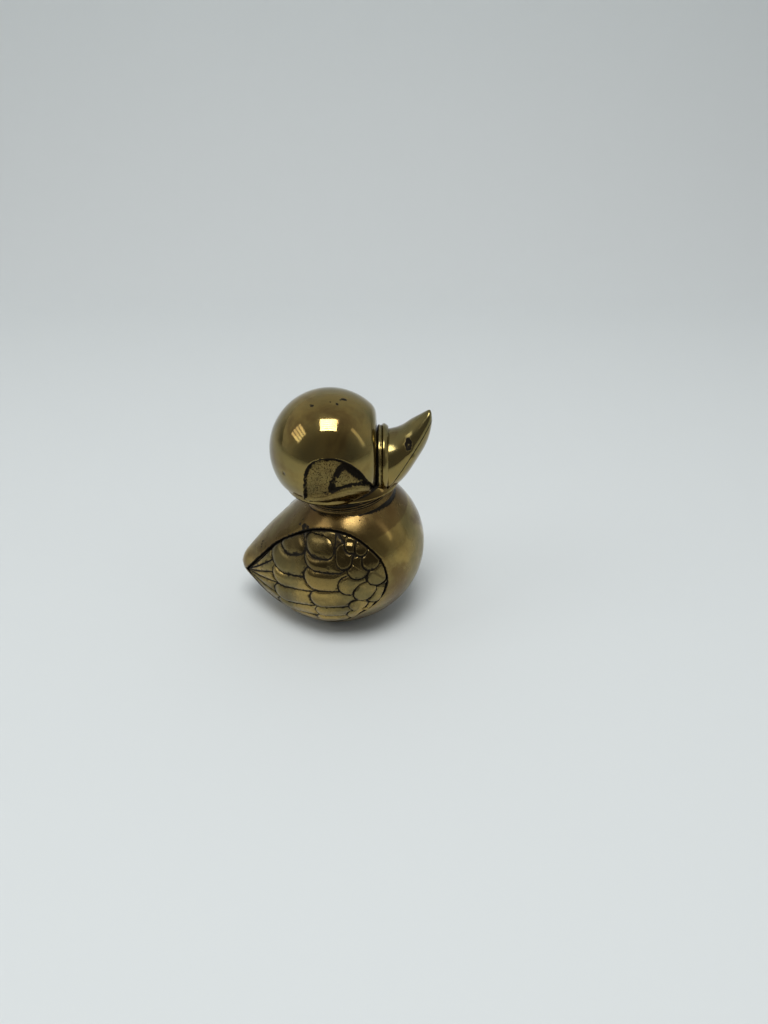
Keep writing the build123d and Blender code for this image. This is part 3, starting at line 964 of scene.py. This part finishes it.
    def relief_tree(self, material: bpy.types.Material) -> bpy.types.NodeTree:
        """The tree that raises the feathers out of the plain panel."""
        tree, given = start_group(
            "GeometryNodeTree", "feather_relief",
            {"Geometry": "NodeSocketGeometry", "Relief Height": 0.0}, ("Geometry", "NodeSocketGeometry"),
        )
        outward = tree.add("GeometryNodeInputNamedAttribute", {"Name": "outward"}, data_type="FLOAT_VECTOR")
        raised = tree.add("GeometryNodeInputNamedAttribute", {"Name": "relief"}, data_type="FLOAT")
        amount = tree.math("MULTIPLY", raised.outputs[0], given["Relief Height"])
        offset = tree.add("ShaderNodeVectorMath", {0: outward.outputs[0], "Scale": amount}, operation="SCALE")
        moved = tree.add("GeometryNodeSetPosition", {
            "Geometry": given["Geometry"], "Offset": offset.outputs[0],
        })
        return tree.close_piece(moved.outputs[0], material)

    def build(self, material: bpy.types.Material) -> bpy.types.Mesh:
        """The right wing's panel.

        Args:
            material: The finish that the tree puts on it.

        Returns:
            The finished mesh with its layers.
        """
        face, back = self.grid()
        raised, grooves_and_shade = self.relief(face.reshape(-1, 2))
        raised = raised.reshape(face.shape[:2])
        grooves_and_shade = grooves_and_shade.reshape(face.shape[:2])
        sunk = np.full(back.shape[:2], -self.thickness)
        spots = np.concatenate([face, back[:, ::-1]], axis=1)
        lift = np.concatenate([raised, sunk], axis=1)
        grooves_and_shade_rows = np.concatenate([grooves_and_shade, np.ones(back.shape[:2])], axis=1)
        skin = self.body.flank(spots[..., 0], spots[..., 1])
        outward = self.body.flank_normal(spots[..., 0], spots[..., 1])
        ends = [skin[i].mean(0) for i in (0, -1)]
        mesh = ring_mesh("wing_panel", skin, ends[0], ends[1])
        pad = ((0, 2), (0, 0))
        normals = np.pad(outward.reshape(-1, 3), pad)
        heights = np.pad(lift.reshape(-1), (0, 2))
        normals[-2:] = outward[0].mean(0), outward[-1].mean(0)
        heights[-2:] = lift[0].mean(), lift[-1].mean()
        direction = mesh.attributes.new("outward", "FLOAT_VECTOR", "POINT")
        direction.data.foreach_set("vector", normals.reshape(-1).astype(np.float32))
        amount = mesh.attributes.new("relief", "FLOAT", "POINT")
        amount.data.foreach_set("value", heights.astype(np.float32))
        item = new_object("wing_panel_work", mesh)
        finished = grown(item, self.relief_tree(material), {"Relief Height": MM}, "right_wing_mesh")
        for spare in ("outward", "relief"):
            finished.attributes.remove(finished.attributes[spare])
        settle(finished)
        tall = (points_of(finished)[:, 2] - self.foot_z) / self.height
        # The wing turns browner towards its top.
        write_layers(
            finished, cavity=np.pad(grooves_and_shade_rows.reshape(-1), (0, 2), constant_values=1),
            matte=self.matte, tarnish=ramp(tall, *self.tarnish_heights) * self.tarnish,
        )
        return finished


def input_key(tree: bpy.types.NodeTree, name: str) -> str:
    """The identifier of a tree's input, which its modifier sets it by."""
    return next(
        item.identifier for item in tree.interface.items_tree
        if item.item_type == "SOCKET" and item.in_out == "INPUT" and item.name == name
    )


def grown(
    item: bpy.types.Object, tree: bpy.types.NodeTree, settings: dict[str, float], name: str
) -> bpy.types.Mesh:
    """The plain mesh that a Geometry Nodes tree makes of a work object, which is then removed.

    Args:
        item: The work object.
        tree: The Geometry Nodes tree.
        settings: Values for the tree's named inputs.
        name: The new mesh's name.

    Returns:
        The finished mesh.
    """
    modifier = item.modifiers.new("shape", "NODES")
    modifier.node_group = tree
    for key, value in settings.items():
        modifier[input_key(tree, key)] = value
    mesh = evaluated_copy(item, name)
    item.modifiers.remove(modifier)
    bpy.data.objects.remove(item)
    return mesh


def mirrored(mesh: bpy.types.Mesh, name: str) -> bpy.types.Mesh:
    """The same mesh on the duck's other side, with its faces outwards."""
    copy = mesh.copy()
    copy.name = name
    flat = points_of(mesh)
    flat[:, 1] *= -1
    set_points(copy, flat)
    copy.flip_normals()
    copy.update()
    return copy


# Neck ring

@dataclass
class NeckBeads:
    """The turned ring between the body and the head. Sizes in millimetres."""

    origin: Sequence[float] = (6.0, 0.0, 42.0)
    tilt: float = 9.0
    radius: float = 13.5
    height: float = 6.6
    band_share: float = 0.02
    throat_share: float = 0.955
    bead_count: int = 2
    bead_depth: float = 0.3
    bead_start: float = 0.27
    bead_end: float = 0.5
    skirt: float = 2.4
    shade_base: float = 0.3

    def bead_tree(self, material: bpy.types.Material) -> bpy.types.NodeTree:
        """The tree that turns the ring: a tube whose wall follows the band and the beads."""
        names = ("Ring Radius", "Ring Height", "Band Share", "Throat Share", "Bead Depth", "Bead Count")
        tree, given = start_group(
            "GeometryNodeTree", "neck_bead_ring",
            dict.fromkeys(names, 0.0), ("Geometry", "NodeSocketGeometry"),
        )
        tube = tree.add("GeometryNodeMeshCylinder", {
            "Vertices": 256, "Side Segments": 96, "Fill Segments": 2,
            "Radius": given["Ring Radius"], "Depth": given["Ring Height"],
        })
        place = tree.add("GeometryNodeInputPosition")
        parts = tree.add("ShaderNodeSeparateXYZ", {0: place.outputs[0]})
        share = tree.math("ADD", tree.math("DIVIDE", parts.outputs[2], given["Ring Height"]), 0.5)
        band_top = given["Band Share"]
        throat = tree.span(
            share, band_top, tree.math("ADD", band_top, 0.24), 1.0, given["Throat Share"]
        )
        bead_span = self.bead_end - self.bead_start
        bead_share = tree.math("DIVIDE", tree.math("SUBTRACT", share, self.bead_start), bead_span)
        within = tree.math(
            "MULTIPLY", tree.math("GREATER_THAN", bead_share, 0.0), tree.math("LESS_THAN", bead_share, 1.0)
        )
        bead_at = tree.math("MULTIPLY", bead_share, given["Bead Count"])
        turns = tree.math("MULTIPLY", bead_at, 2 * math.pi)
        swell = tree.math("MULTIPLY", tree.math("SUBTRACT", 1.0, tree.math("COSINE", turns)), 0.5)
        swell = tree.math("MULTIPLY", tree.math("MULTIPLY", swell, within), given["Bead Depth"])
        grown = tree.math("ADD", throat, tree.math("DIVIDE", swell, given["Ring Radius"]))
        wide = [tree.math("MULTIPLY", parts.outputs[i], grown) for i in (0, 1)]
        height = tree.math("ADD", parts.outputs[2], tree.math("MULTIPLY", given["Ring Height"], 0.5))
        spot = tree.add("ShaderNodeCombineXYZ", {0: wide[0], 1: wide[1], 2: height})
        shaped = tree.add(
            "GeometryNodeSetPosition", {"Geometry": tube.outputs[0], "Position": spot.outputs[0]}
        )
        return tree.close_piece(shaped.outputs[0], material)

    def build(self, material: bpy.types.Material) -> bpy.types.Mesh:
        """The ring, leaned back on its seat, with its layers."""
        item = new_object("neck_ring_work", bpy.data.meshes.new("neck_ring_seed"))
        settings = {
            "Ring Radius": self.radius * MM, "Ring Height": self.height * MM, "Band Share": self.band_share,
            "Throat Share": self.throat_share, "Bead Depth": self.bead_depth * MM,
            "Bead Count": float(self.bead_count),
        }
        mesh = grown(item, self.bead_tree(material), settings, "neck_ring_mesh")
        upright = points_of(mesh)
        share = upright[:, 2] / self.height
        bead = (share - self.bead_start) / (self.bead_end - self.bead_start) * self.bead_count
        on_beads = (bead > -0.3) & (bead < self.bead_count + 0.3)
        valley = fade((bead - np.round(bead)) * 2, 0.5) * on_beads
        upright[share < 0.001, 2] -= self.skirt
        placed = tilted(upright, -self.tilt, self.origin)
        set_points(mesh, placed)
        settle(mesh)
        # Painted shade from the head: a base darkening and browning over the whole ring, darker on its upper
        # half; the bead valleys and the seat hold patina.
        seat = fade(share, 0.035)
        shade = ramp(share, 0.5, 0.62) * 0.8
        grooves_and_shade = np.maximum.reduce([valley * 0.8, shade, seat * 0.7]) + self.shade_base
        write_layers(mesh, cavity=grooves_and_shade, matte=0.2, tarnish=0.9)
        return mesh


# Head

@dataclass
class RoundHead:
    """The head with its flat cheeks behind the bill and a half-moon eye on each side."""

    centre: Sequence[float] = (0.35, 0.0, 57.4)
    radius: float = 17.8
    front: float = 13.55
    brow_round: float = 5.0
    bill_root_z: float = 54.2
    eye_depth: float = 0.9
    lid_rise: float = 1.35
    pupil_rise: float = 0.45
    eye_edge: float = 0.3
    marks: Sequence[Sequence[float]] = (
        (-3.8, -5.2, 73.9, 0.5), (-4.3, -4.6, 74.0, 0.3), (3.1, -4.8, 74.3, 0.35), (4.6, -2.2, 74.5, 0.5),
        (5.3, -2.4, 74.3, 0.4), (1.2, -4.2, 74.7, 0.2), (3.9, -2.9, 74.6, 0.25),
    )
    rings: int = 214
    around: int = 372
    crowding: float = 0.45
    brow: Pairs = (
        (-0.39, -0.50), (-0.38, -0.22), (-0.36, 0.0), (-0.31, 0.18), (-0.20, 0.30), (-0.02, 0.355),
        (0.18, 0.34), (0.36, 0.24), (0.52, 0.07), (0.62, -0.13), (0.69, -0.28), (0.73, -0.44),
    )
    floor: Pairs = ((0.73, -0.44), (0.56, -0.34), (0.26, -0.27), (-0.07, -0.42), (-0.39, -0.50))
    lid_crest: Pairs = (
        (-0.33, -0.485), (-0.14, -0.43), (0.05, -0.355), (0.26, -0.255), (0.46, -0.27), (0.60, -0.35),
    )
    lid_width: float = 1.5
    lid_proud: float = 0.45
    channel_depth: float = 0.28
    channel_out: float = 0.3
    channel_width: float = 0.35
    lip_pinch: float = 0.8
    pinch_width: float = 0.9
    pinch_end: Sequence[float] = (3.0, 9.0)
    eye_line: Sequence[float] = (0.25, 0.8)
    pupil_line: Sequence[float] = (0.55, 0.35, 0.75)
    lid_line: Sequence[float] = (0.4, 0.25, 0.45)
    cheek_dirt: float = 0.9
    cheek_reach: Sequence[float] = (10.4, 12.0)
    cheek_foot: Sequence[float] = (47.5, 50.0)
    lip_rise: float = 1.7
    pupil: Pairs = ((0.12, -0.25), (0.17, 0.04), (0.28, 0.17), (0.40, 0.04), (0.56, -0.20))

    def reach(self, lean: np.ndarray) -> np.ndarray:
        """Distance from the centre to the skin, by the angle from the bill's direction."""
        arm = self.radius - self.brow_round
        out = self.front - self.brow_round
        aside = math.sqrt(arm**2 - out**2)
        flat_end = math.atan2(aside, self.front)
        round_end = math.atan2(aside, out)
        toward = out * np.cos(lean) + aside * np.sin(lean)
        rounded = toward + np.sqrt(np.maximum(toward**2 - arm**2 + self.brow_round**2, 0))
        flat = self.front / np.maximum(np.cos(lean), 0.2)
        return np.where(lean < flat_end, flat, np.where(lean < round_end, rounded, self.radius))

    def eye_fields(self, spots: np.ndarray) -> tuple[np.ndarray, np.ndarray, np.ndarray]:
        """Depth of each spot inside the eye, the lid and the pupil, seen from the side."""
        centre = np.array([self.centre[0], self.centre[2]])

        def corners(shares: Pairs) -> np.ndarray:
            """Corners of an outline in millimetres."""
            return centre + np.array(shares) * self.radius

        eye = np.vstack([through(corners(self.brow), 60), through(corners(self.floor), 30)[1:-1]])
        loop = corners(self.pupil)
        loop = np.vstack([loop, loop[:1]])
        wrapped = np.vstack([loop[-3:-1], loop, loop[1:3]])
        knots = np.concatenate([[0], np.cumsum(np.linalg.norm(np.diff(wrapped, axis=0), axis=1))])
        where = np.linspace(knots[2], knots[-3], 50, endpoint=False)
        pupil = natural_spline(knots, wrapped, where)
        lid = self.lid_width - line_distance(spots, through(corners(self.lid_crest), 50))
        return depth_inside(spots, eye), lid, depth_inside(spots, pupil)

    def build(self) -> bpy.types.Mesh:
        """The head, cut flat under the rim, with its layers."""
        lean = np.linspace(0, math.pi, self.rings + 2)[1:-1]
        turn = np.linspace(0, 2 * math.pi, self.around, endpoint=False)
        turn = turn - self.crowding * np.sin(2 * turn) / 2
        size = self.reach(lean)[:, None]
        direction = np.stack([
            np.broadcast_to(np.cos(lean)[:, None], (self.rings, self.around)),
            -np.sin(lean)[:, None] * np.cos(turn), np.sin(lean)[:, None] * np.sin(turn),
        ], axis=2)
        skin = np.array(self.centre) + direction * size[..., None]
        eye, lid, pupil = self.eye_fields(skin.reshape(-1, 3)[:, [0, 2]])
        floor = self.eye_depth * ramp(eye, -0.05, self.eye_edge)
        roll = np.sqrt(pillow(np.maximum(lid, 0), self.lid_width))
        mound = np.maximum(self.lid_rise * roll, self.pupil_rise * pillow(pupil, 1.0) * (pupil > 0))
        channel = self.channel_depth * fade(np.abs(pupil + self.channel_out), self.channel_width)
        channel = channel * (eye > 0) * (lid < 0)
        sunk = floor - np.minimum(mound, floor + self.lid_proud) + channel * ramp(eye, 0, 0.5)
        over_rim = (skin[..., 2] - RIM_ORIGIN[2]).reshape(-1)
        behind_bill = 1 - ramp(skin[..., 0].reshape(-1), *self.pinch_end)
        sunk = sunk + self.lip_pinch * fade(over_rim - self.lip_rise, self.pinch_width) * behind_bill
        skin = skin - direction * sunk.reshape(skin.shape[:2])[..., None]
        poles = [np.array(self.centre) + np.array([reach, 0, 0]) for reach in (self.front, -self.radius)]
        mesh = ring_mesh("head_form", skin, poles[0], poles[1])
        mesh = cut_under_rim(mesh)
        self.mark(mesh)
        return mesh

    def mark(self, mesh: bpy.types.Mesh) -> None:
        """Write the dark outline of the eye and its rough floor."""
        points = points_of(mesh)
        eye, lid, pupil = self.eye_fields(points[:, [0, 2]])
        shown = (np.abs(points[:, 1]) > 2).astype(float)
        start, width = self.eye_line
        outline = np.where(eye > 0, fade(np.maximum(eye - start, 0), width), fade(eye, 0.15))
        out, half, width = self.pupil_line
        around = fade(np.maximum(np.abs(pupil + out) - half, 0), width) * (eye > -0.1) * (lid < 0.2)
        out, half, width = self.lid_line
        over_lid = fade(np.maximum(np.abs(lid + out) - half, 0), width)
        over_lid = over_lid * (eye > 0) * ramp(points[:, 0], -7, 5)
        dark = np.maximum.reduce([outline * (lid < 0.5), around, over_lid]) * shown
        # Painted shade on the underside of the head, just above the rim.
        under = (1 - ramp(points[:, 2] - RIM_ORIGIN[2], 0.0, 0.5)) * 0.7
        behind = np.hypot(points[:, 1], points[:, 2] - self.bill_root_z)
        cheek = fade(np.maximum(self.front + self.centre[0] - 0.8 - points[:, 0], 0), self.cheek_dirt)
        cheek = cheek * (1 - ramp(behind, *self.cheek_reach)) * ramp(points[:, 2], *self.cheek_foot)
        spots = near_marks(points, self.marks) * MARK_STRENGTH
        rough = ramp(eye, 0, 0.4) * shown * np.where(lid > 0, 0.45, 1.0)
        write_layers(mesh, cavity=np.maximum.reduce([dark, under, cheek, spots]), matte=rough)


@dataclass
class ChinRim:
    """The oval lip that runs round under the head and the bill."""

    origin: Sequence[float] = (5.2, 0.0, 46.242)
    tilt: float = 2.0
    half_length: float = 15.4
    half_width: float = 13.0
    profile: Pairs = (
        (2.5, 0.0), (0.35, 0.0), (0.1, 0.08), (0.0, 0.28), (0.06, 0.6), (0.25, 1.1), (0.6, 1.75), (1.1, 2.5),
        (1.9, 3.4), (3.0, 4.4), (4.6, 5.4), (6.5, 6.0),
    )
    around: int = 320

    def build(self) -> bpy.types.Mesh:
        """The lip, with its layers."""
        corners = np.array(self.profile)
        steps = through(corners, 60)
        turn = np.linspace(0, 2 * math.pi, self.around, endpoint=False)
        rows = np.stack([
            (self.half_length - steps[:, 0])[:, None] * np.cos(turn),
            (self.half_width - steps[:, 0])[:, None] * np.sin(turn),
            np.broadcast_to(steps[:, 1][:, None], (len(steps), self.around)),
        ], axis=2)
        placed = tilted(rows, -self.tilt, self.origin)
        middles = np.array([(0, 0, self.profile[0][1]), (0, 0, self.profile[-1][1])])
        ends = tilted(middles, -self.tilt, self.origin)
        mesh = ring_mesh("chin_rim", placed, ends[0], ends[1])
        share = np.pad(np.repeat(steps[:, 1], self.around), (0, 2))
        # Painted shade along the lip's underside.
        write_layers(mesh, cavity=0.4 * fade(share, 0.12), matte=0.0)
        return mesh


# Bill

@dataclass
class UpturnedBill:
    """The bill with its stepped collar, mouth line and nostrils."""

    root_x: float = 14.0
    root_z: float = 54.2
    collar_end_x: float = 17.4
    tip: Sequence[float] = (29.95, 0.0, 66.6)
    collar: float = 10.2
    places: Sequence[float] = (0.0, 0.23, 0.47, 0.68, 0.85, 0.955)
    rises: Sequence[float] = (-0.06, 0.07, 0.30, 0.56, 0.78, 0.96)
    heights: Sequence[float] = (0.91, 0.84, 0.78, 0.65, 0.54, 0.36)
    widths: Sequence[float] = (0.92, 0.84, 0.70, 0.55, 0.36, 0.20)
    mouth_places: Sequence[float] = (0.0, 0.23, 0.47, 0.68, 0.85, 0.955, 1.0)
    mouth_shares: Sequence[float] = (0.55, 0.23, 0.02, -0.08, -0.18, -0.2, -0.2)
    mouth_drop: float = 0.25
    mouth_line: Sequence[float] = (0.15, 0.24, 0.3)
    nostril: Sequence[float] = (23.1, 62.0)
    nostril_size: Sequence[float] = (1.35, 1.95)
    nostril_depth: float = 0.45
    steps: Pairs = (
        (14.0, -1.5), (14.1, -0.95), (14.3, -0.55), (14.6, -0.35), (14.9, -0.36), (15.15, -0.52),
        (15.35, -0.52), (15.6, -0.22), (15.9, -0.03), (16.2, 0.0), (16.55, -0.14), (16.95, -0.42),
        (17.45, -0.87),
    )
    groove_dirt: Pairs = (
        (14.0, 1.0), (14.4, 0.95), (14.75, 0.35), (15.0, 0.05), (15.15, 0.5), (15.4, 0.5), (15.7, 0.0),
    )
    rings: int = 210
    collar_rings: int = 70
    around: int = 300

    def sections(self) -> np.ndarray:
        """Place along X, middle height, half height and half width of the bill's sections."""
        length = self.tip[0] - self.collar_end_x
        table = np.array([
            (self.collar_end_x + place * length, self.root_z + rise * (self.tip[2] - self.root_z),
             height * self.collar, width * self.collar)
            for place, rise, height, width in zip(self.places, self.rises, self.heights, self.widths)
        ] + [(self.tip[0], self.tip[2], 0.0, 0.0)])
        bill = through(table, self.rings - self.collar_rings)
        start = np.linspace(self.root_x, self.collar_end_x, self.collar_rings + 1)[:-1]
        collar = np.interp(start, *np.array(self.steps).T) + self.collar
        root = np.stack([start, np.full(self.collar_rings, self.root_z), collar, collar], axis=1)
        return np.vstack([root, bill])

    def mouth_at(self, x: np.ndarray) -> np.ndarray:
        """Where the mouth line crosses a section, as a share of its half height under the middle."""
        share = (x - self.collar_end_x) / (self.tip[0] - self.collar_end_x)
        knots = np.array(self.mouth_places)
        values = np.array(self.mouth_shares)[:, None]
        return natural_spline(knots, values, np.clip(share, 0, 1).reshape(-1))[:, 0].reshape(share.shape)

    def nostril_reach(self, points: np.ndarray) -> np.ndarray:
        """Distance of points from the nostril's middle, as a share of its size."""
        return np.hypot(
            (points[..., 0] - self.nostril[0]) / self.nostril_size[0],
            (points[..., 2] - self.nostril[1]) / self.nostril_size[1],
        )

    def build(self) -> bpy.types.Mesh:
        """The bill, cut flat under the rim, with its layers."""
        rows = self.sections()[:-1]
        turn = np.linspace(0, 2 * math.pi, self.around, endpoint=False)
        sine = np.sin(turn)[None]
        open_share = ramp(rows[:, 0], self.collar_end_x, self.collar_end_x + 1.5)[:, None]
        gap = (-sine - self.mouth_at(rows[:, 0:1])) * rows[:, 2:3]
        drop = self.mouth_drop * ramp(gap, 0.0, 0.25) * open_share
        low, width, depth = self.mouth_line
        drop = drop + depth * (fade(gap - low, width) * open_share)
        tall = np.maximum(rows[:, 2:3] - drop, 0.02)
        wide = np.maximum(rows[:, 3:4] - drop, 0.02)
        skin = np.stack([
            np.broadcast_to(rows[:, 0:1], tall.shape), wide * np.cos(turn), rows[:, 1:2] + tall * sine,
        ], axis=2)
        dimple = fade(self.nostril_reach(skin), 0.9) * (np.abs(skin[..., 1]) > 1.5)
        outward = np.stack([np.zeros(skin.shape[:2]), skin[..., 1], skin[..., 2] - rows[:, 1:2]], axis=2)
        outward /= np.maximum(np.linalg.norm(outward, axis=2, keepdims=True), 1e-6)
        skin = skin - outward * (self.nostril_depth * dimple)[..., None]
        start = np.array([rows[0, 0], 0, rows[0, 1]])
        mesh = ring_mesh("bill_form", skin, start, np.array(self.tip))
        mesh = cut_under_rim(mesh)
        self.mark(mesh)
        return mesh

    def mark(self, mesh: bpy.types.Mesh) -> None:
        """Write the dark grooves of the collar, the mouth line and the nostrils."""
        points = points_of(mesh)
        rows = self.sections()
        middle = np.interp(points[:, 0], rows[:, 0], rows[:, 1])
        tall = np.maximum(np.interp(points[:, 0], rows[:, 0], rows[:, 2]), 0.3)
        drop = (middle - points[:, 2]) - self.mouth_at(points[:, 0]) * tall
        past = ramp(points[:, 0], self.collar_end_x, self.collar_end_x + 1)
        mouth = fade(drop - 0.1, 0.36) * past * (np.abs(points[:, 1]) > 0.3)
        groove = np.interp(points[:, 0], *np.array(self.groove_dirt).T)
        nostril = (1 - ramp(self.nostril_reach(points), 0.4, 1.15)) * (np.abs(points[:, 1]) > 1.5)
        write_layers(mesh, cavity=np.maximum.reduce([mouth, groove, nostril * 1.4]), matte=nostril * 0.7)


# Stage

@dataclass(frozen=True)
class Softbox:
    """A soft square lamp that faces the duck. Direction from the duck, size and distance in metres."""

    name: str
    direction: tuple[float, float, float]
    width: float
    height: float
    watts: float
    slats: int = 1
    distance: float = 0.8
    slat_share: float = 0.72

    def build(self, target: Vector) -> None:
        """Hang the lamp and turn it to the target; slats divide it into level strips."""
        toward = Vector(self.direction).normalized()
        turn = (-toward).to_track_quat("-Z", "Y")
        for index in range(self.slats):
            light = bpy.data.lights.new(f"{self.name}_{index}", "AREA")
            light.shape = "RECTANGLE"
            light.size = self.width
            light.size_y = self.height / self.slats * (1.0 if self.slats == 1 else self.slat_share)
            light.energy = self.watts / self.slats
            lamp = bpy.data.objects.new(light.name, light)
            bpy.context.scene.collection.objects.link(lamp)
            step = ((index + 0.5) / self.slats - 0.5) * self.height
            lamp.location = target + toward * self.distance + turn @ Vector((0, step, 0))
            lamp.rotation_euler = turn.to_euler()


@dataclass
class Studio:
    """A pale table that sweeps up behind, soft lamps and the camera. Metres."""

    floor_colour: Colour = (0.70, 0.735, 0.735, 1.0)
    sweep_start: float = 0.27
    sweep_radius: float = 0.16
    wall_top: float = 0.32
    half_width: float = 2.5
    front: float = -2.2
    camera_place: tuple[float, float, float] = (0.01611, -0.19610, 0.17183)
    camera_tilt: float = 55.0
    lens: float = 27.04
    world_front: Colour = (0.148, 0.148, 0.152, 1.0)
    world_back: Colour = (0.5, 0.515, 0.525, 1.0)
    world_seen: Colour = (0.52, 0.55, 0.55, 1.0)
    target: Vector = field(default_factory=lambda: Vector((0.0, 0.0, 0.05)))
    lamps: Sequence[Softbox] = (
        Softbox("window_lamp", (0.0, -0.28, 0.96), 0.4, 0.32, 4.2, slats=6),
        Softbox("left_lamp", (-0.8, -0.18, 0.57), 0.34, 0.3, 0.55, slats=4),
        Softbox("right_lamp", (0.79, -0.25, 0.5), 0.08, 0.5, 0.1),
    )

    def floor(self) -> None:
        """Lay the table and its sweep as one sheet."""
        arc = np.linspace(0, math.pi / 2, 33)[1:]
        line = [(self.front, 0.0), (self.sweep_start, 0.0)]
        line += [
            (self.sweep_start + self.sweep_radius * math.sin(a), self.sweep_radius * (1 - math.cos(a)))
            for a in arc
        ]
        line.append((self.sweep_start + self.sweep_radius, self.wall_top))
        points = [(side * self.half_width, y, z) for y, z in line for side in (-1, 1)]
        faces = [(2 * i, 2 * i + 1, 2 * i + 3, 2 * i + 2) for i in range(len(line) - 1)]
        mesh = bpy.data.meshes.new("table_sweep")
        mesh.from_pydata(points, [], faces)
        mesh.shade_smooth()
        item = new_object("table_sweep", mesh)
        material = bpy.data.materials.new("pale_table")
        material.use_nodes = True
        Tree(material.node_tree).feed(material.node_tree.nodes["Principled BSDF"], {
            "Base Color": self.floor_colour, "Roughness": 0.7, "Specular IOR Level": 0.2,
        })
        mesh.materials.append(material)

    def world(self) -> None:
        """A plain dim surround."""
        world = bpy.data.worlds.new("surround")
        bpy.context.scene.world = world
        world.use_nodes = True
        tree = Tree(world.node_tree)
        toward = tree.add("ShaderNodeSeparateXYZ", {0: tree.add("ShaderNodeTexCoord").outputs["Generated"]})
        share = tree.span(toward.outputs[1], -0.75, 0.2)
        background = world.node_tree.nodes["Background"]
        seen = tree.add("ShaderNodeLightPath").outputs["Is Camera Ray"]
        around = tree.mix(share, self.world_front, self.world_back)
        tree.feed(background, {"Color": tree.mix(seen, around, self.world_seen), "Strength": 1.0})

    def camera(self) -> None:
        """Stand the camera where the photograph was taken from."""
        data = bpy.data.cameras.new("photo_camera")
        data.lens = self.lens
        data.sensor_width = 36.0
        data.clip_start = 0.01
        item = bpy.data.objects.new("photo_camera", data)
        bpy.context.scene.collection.objects.link(item)
        item.location = self.camera_place
        item.rotation_euler = (math.radians(self.camera_tilt), 0.0, 0.0)
        bpy.context.scene.camera = item

    def build(self) -> None:
        """Set up the whole stage."""
        self.floor()
        self.world()
        for lamp in self.lamps:
            lamp.build(self.target)
        self.camera()
        bpy.context.scene.view_settings.view_transform = "Standard"


def main() -> None:
    """Build every sub-assembly, then the stage."""
    polished = AgedBrass(
        "polished_brass", polish=0.05, haze=0.17, brown_middle=0.58, brown_scale=70.0, pit_amount=0.07
    ).make()
    hazy = AgedBrass("hazy_brass", polish=0.14, haze=0.38, brown_middle=0.53, pit_amount=0.09).make()
    relief = AgedBrass(
        "relief_brass", gold=(0.39, 0.27, 0.085, 1.0), olive=(0.185, 0.15, 0.06, 1.0),
        brown=(0.082, 0.058, 0.022, 1.0), polish=0.1, haze=0.26, brown_middle=0.6, ragged=1.3,
        wave_depth=0.00003, olive_scale=95.0,
    ).make()
    # A browner copy of the brass for the neck ring, which paints it in shade.
    ring = AgedBrass(
        "shaded_ring_brass", polish=0.12, haze=0.3, brown_middle=0.5, pit_amount=0.09, ragged=0.45
    ).make()
    steel = TurnedSteel("turned_steel").make()
    body = DropBody()
    wing = FeatheredWing(body)
    dress(new_object("body_shell", body.build(wing.outline())), hazy, "polished_brass", "body_casting")
    right = wing.build(relief)
    dress(new_object("right_wing_feathers", right), relief, "relief_brass", "right_wing")
    left = mirrored(right, "left_wing_mesh")
    dress(new_object("left_wing_feathers", left), relief, "relief_brass", "left_wing")
    dress(new_object("neck_beads", NeckBeads().build(ring)), ring, "polished_brass", "neck_ring")
    dress(new_object("round_head", RoundHead().build()), polished, "polished_brass", "head_casting")
    dress(new_object("chin_rim", ChinRim().build()), polished, "polished_brass")
    dress(new_object("upturned_bill", UpturnedBill().build()), polished, "polished_brass", "bill")
    for name in ("neck_screw", "neck_washer"):
        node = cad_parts[name]
        node.data.materials.clear()
        node.data.materials.append(steel)
        log.info("%s: CAD node kept, turned steel", name)
    Studio().build()


if __name__ == "__main__":
    logging.basicConfig(level=logging.INFO, format="%(name)s: %(message)s")
    main()
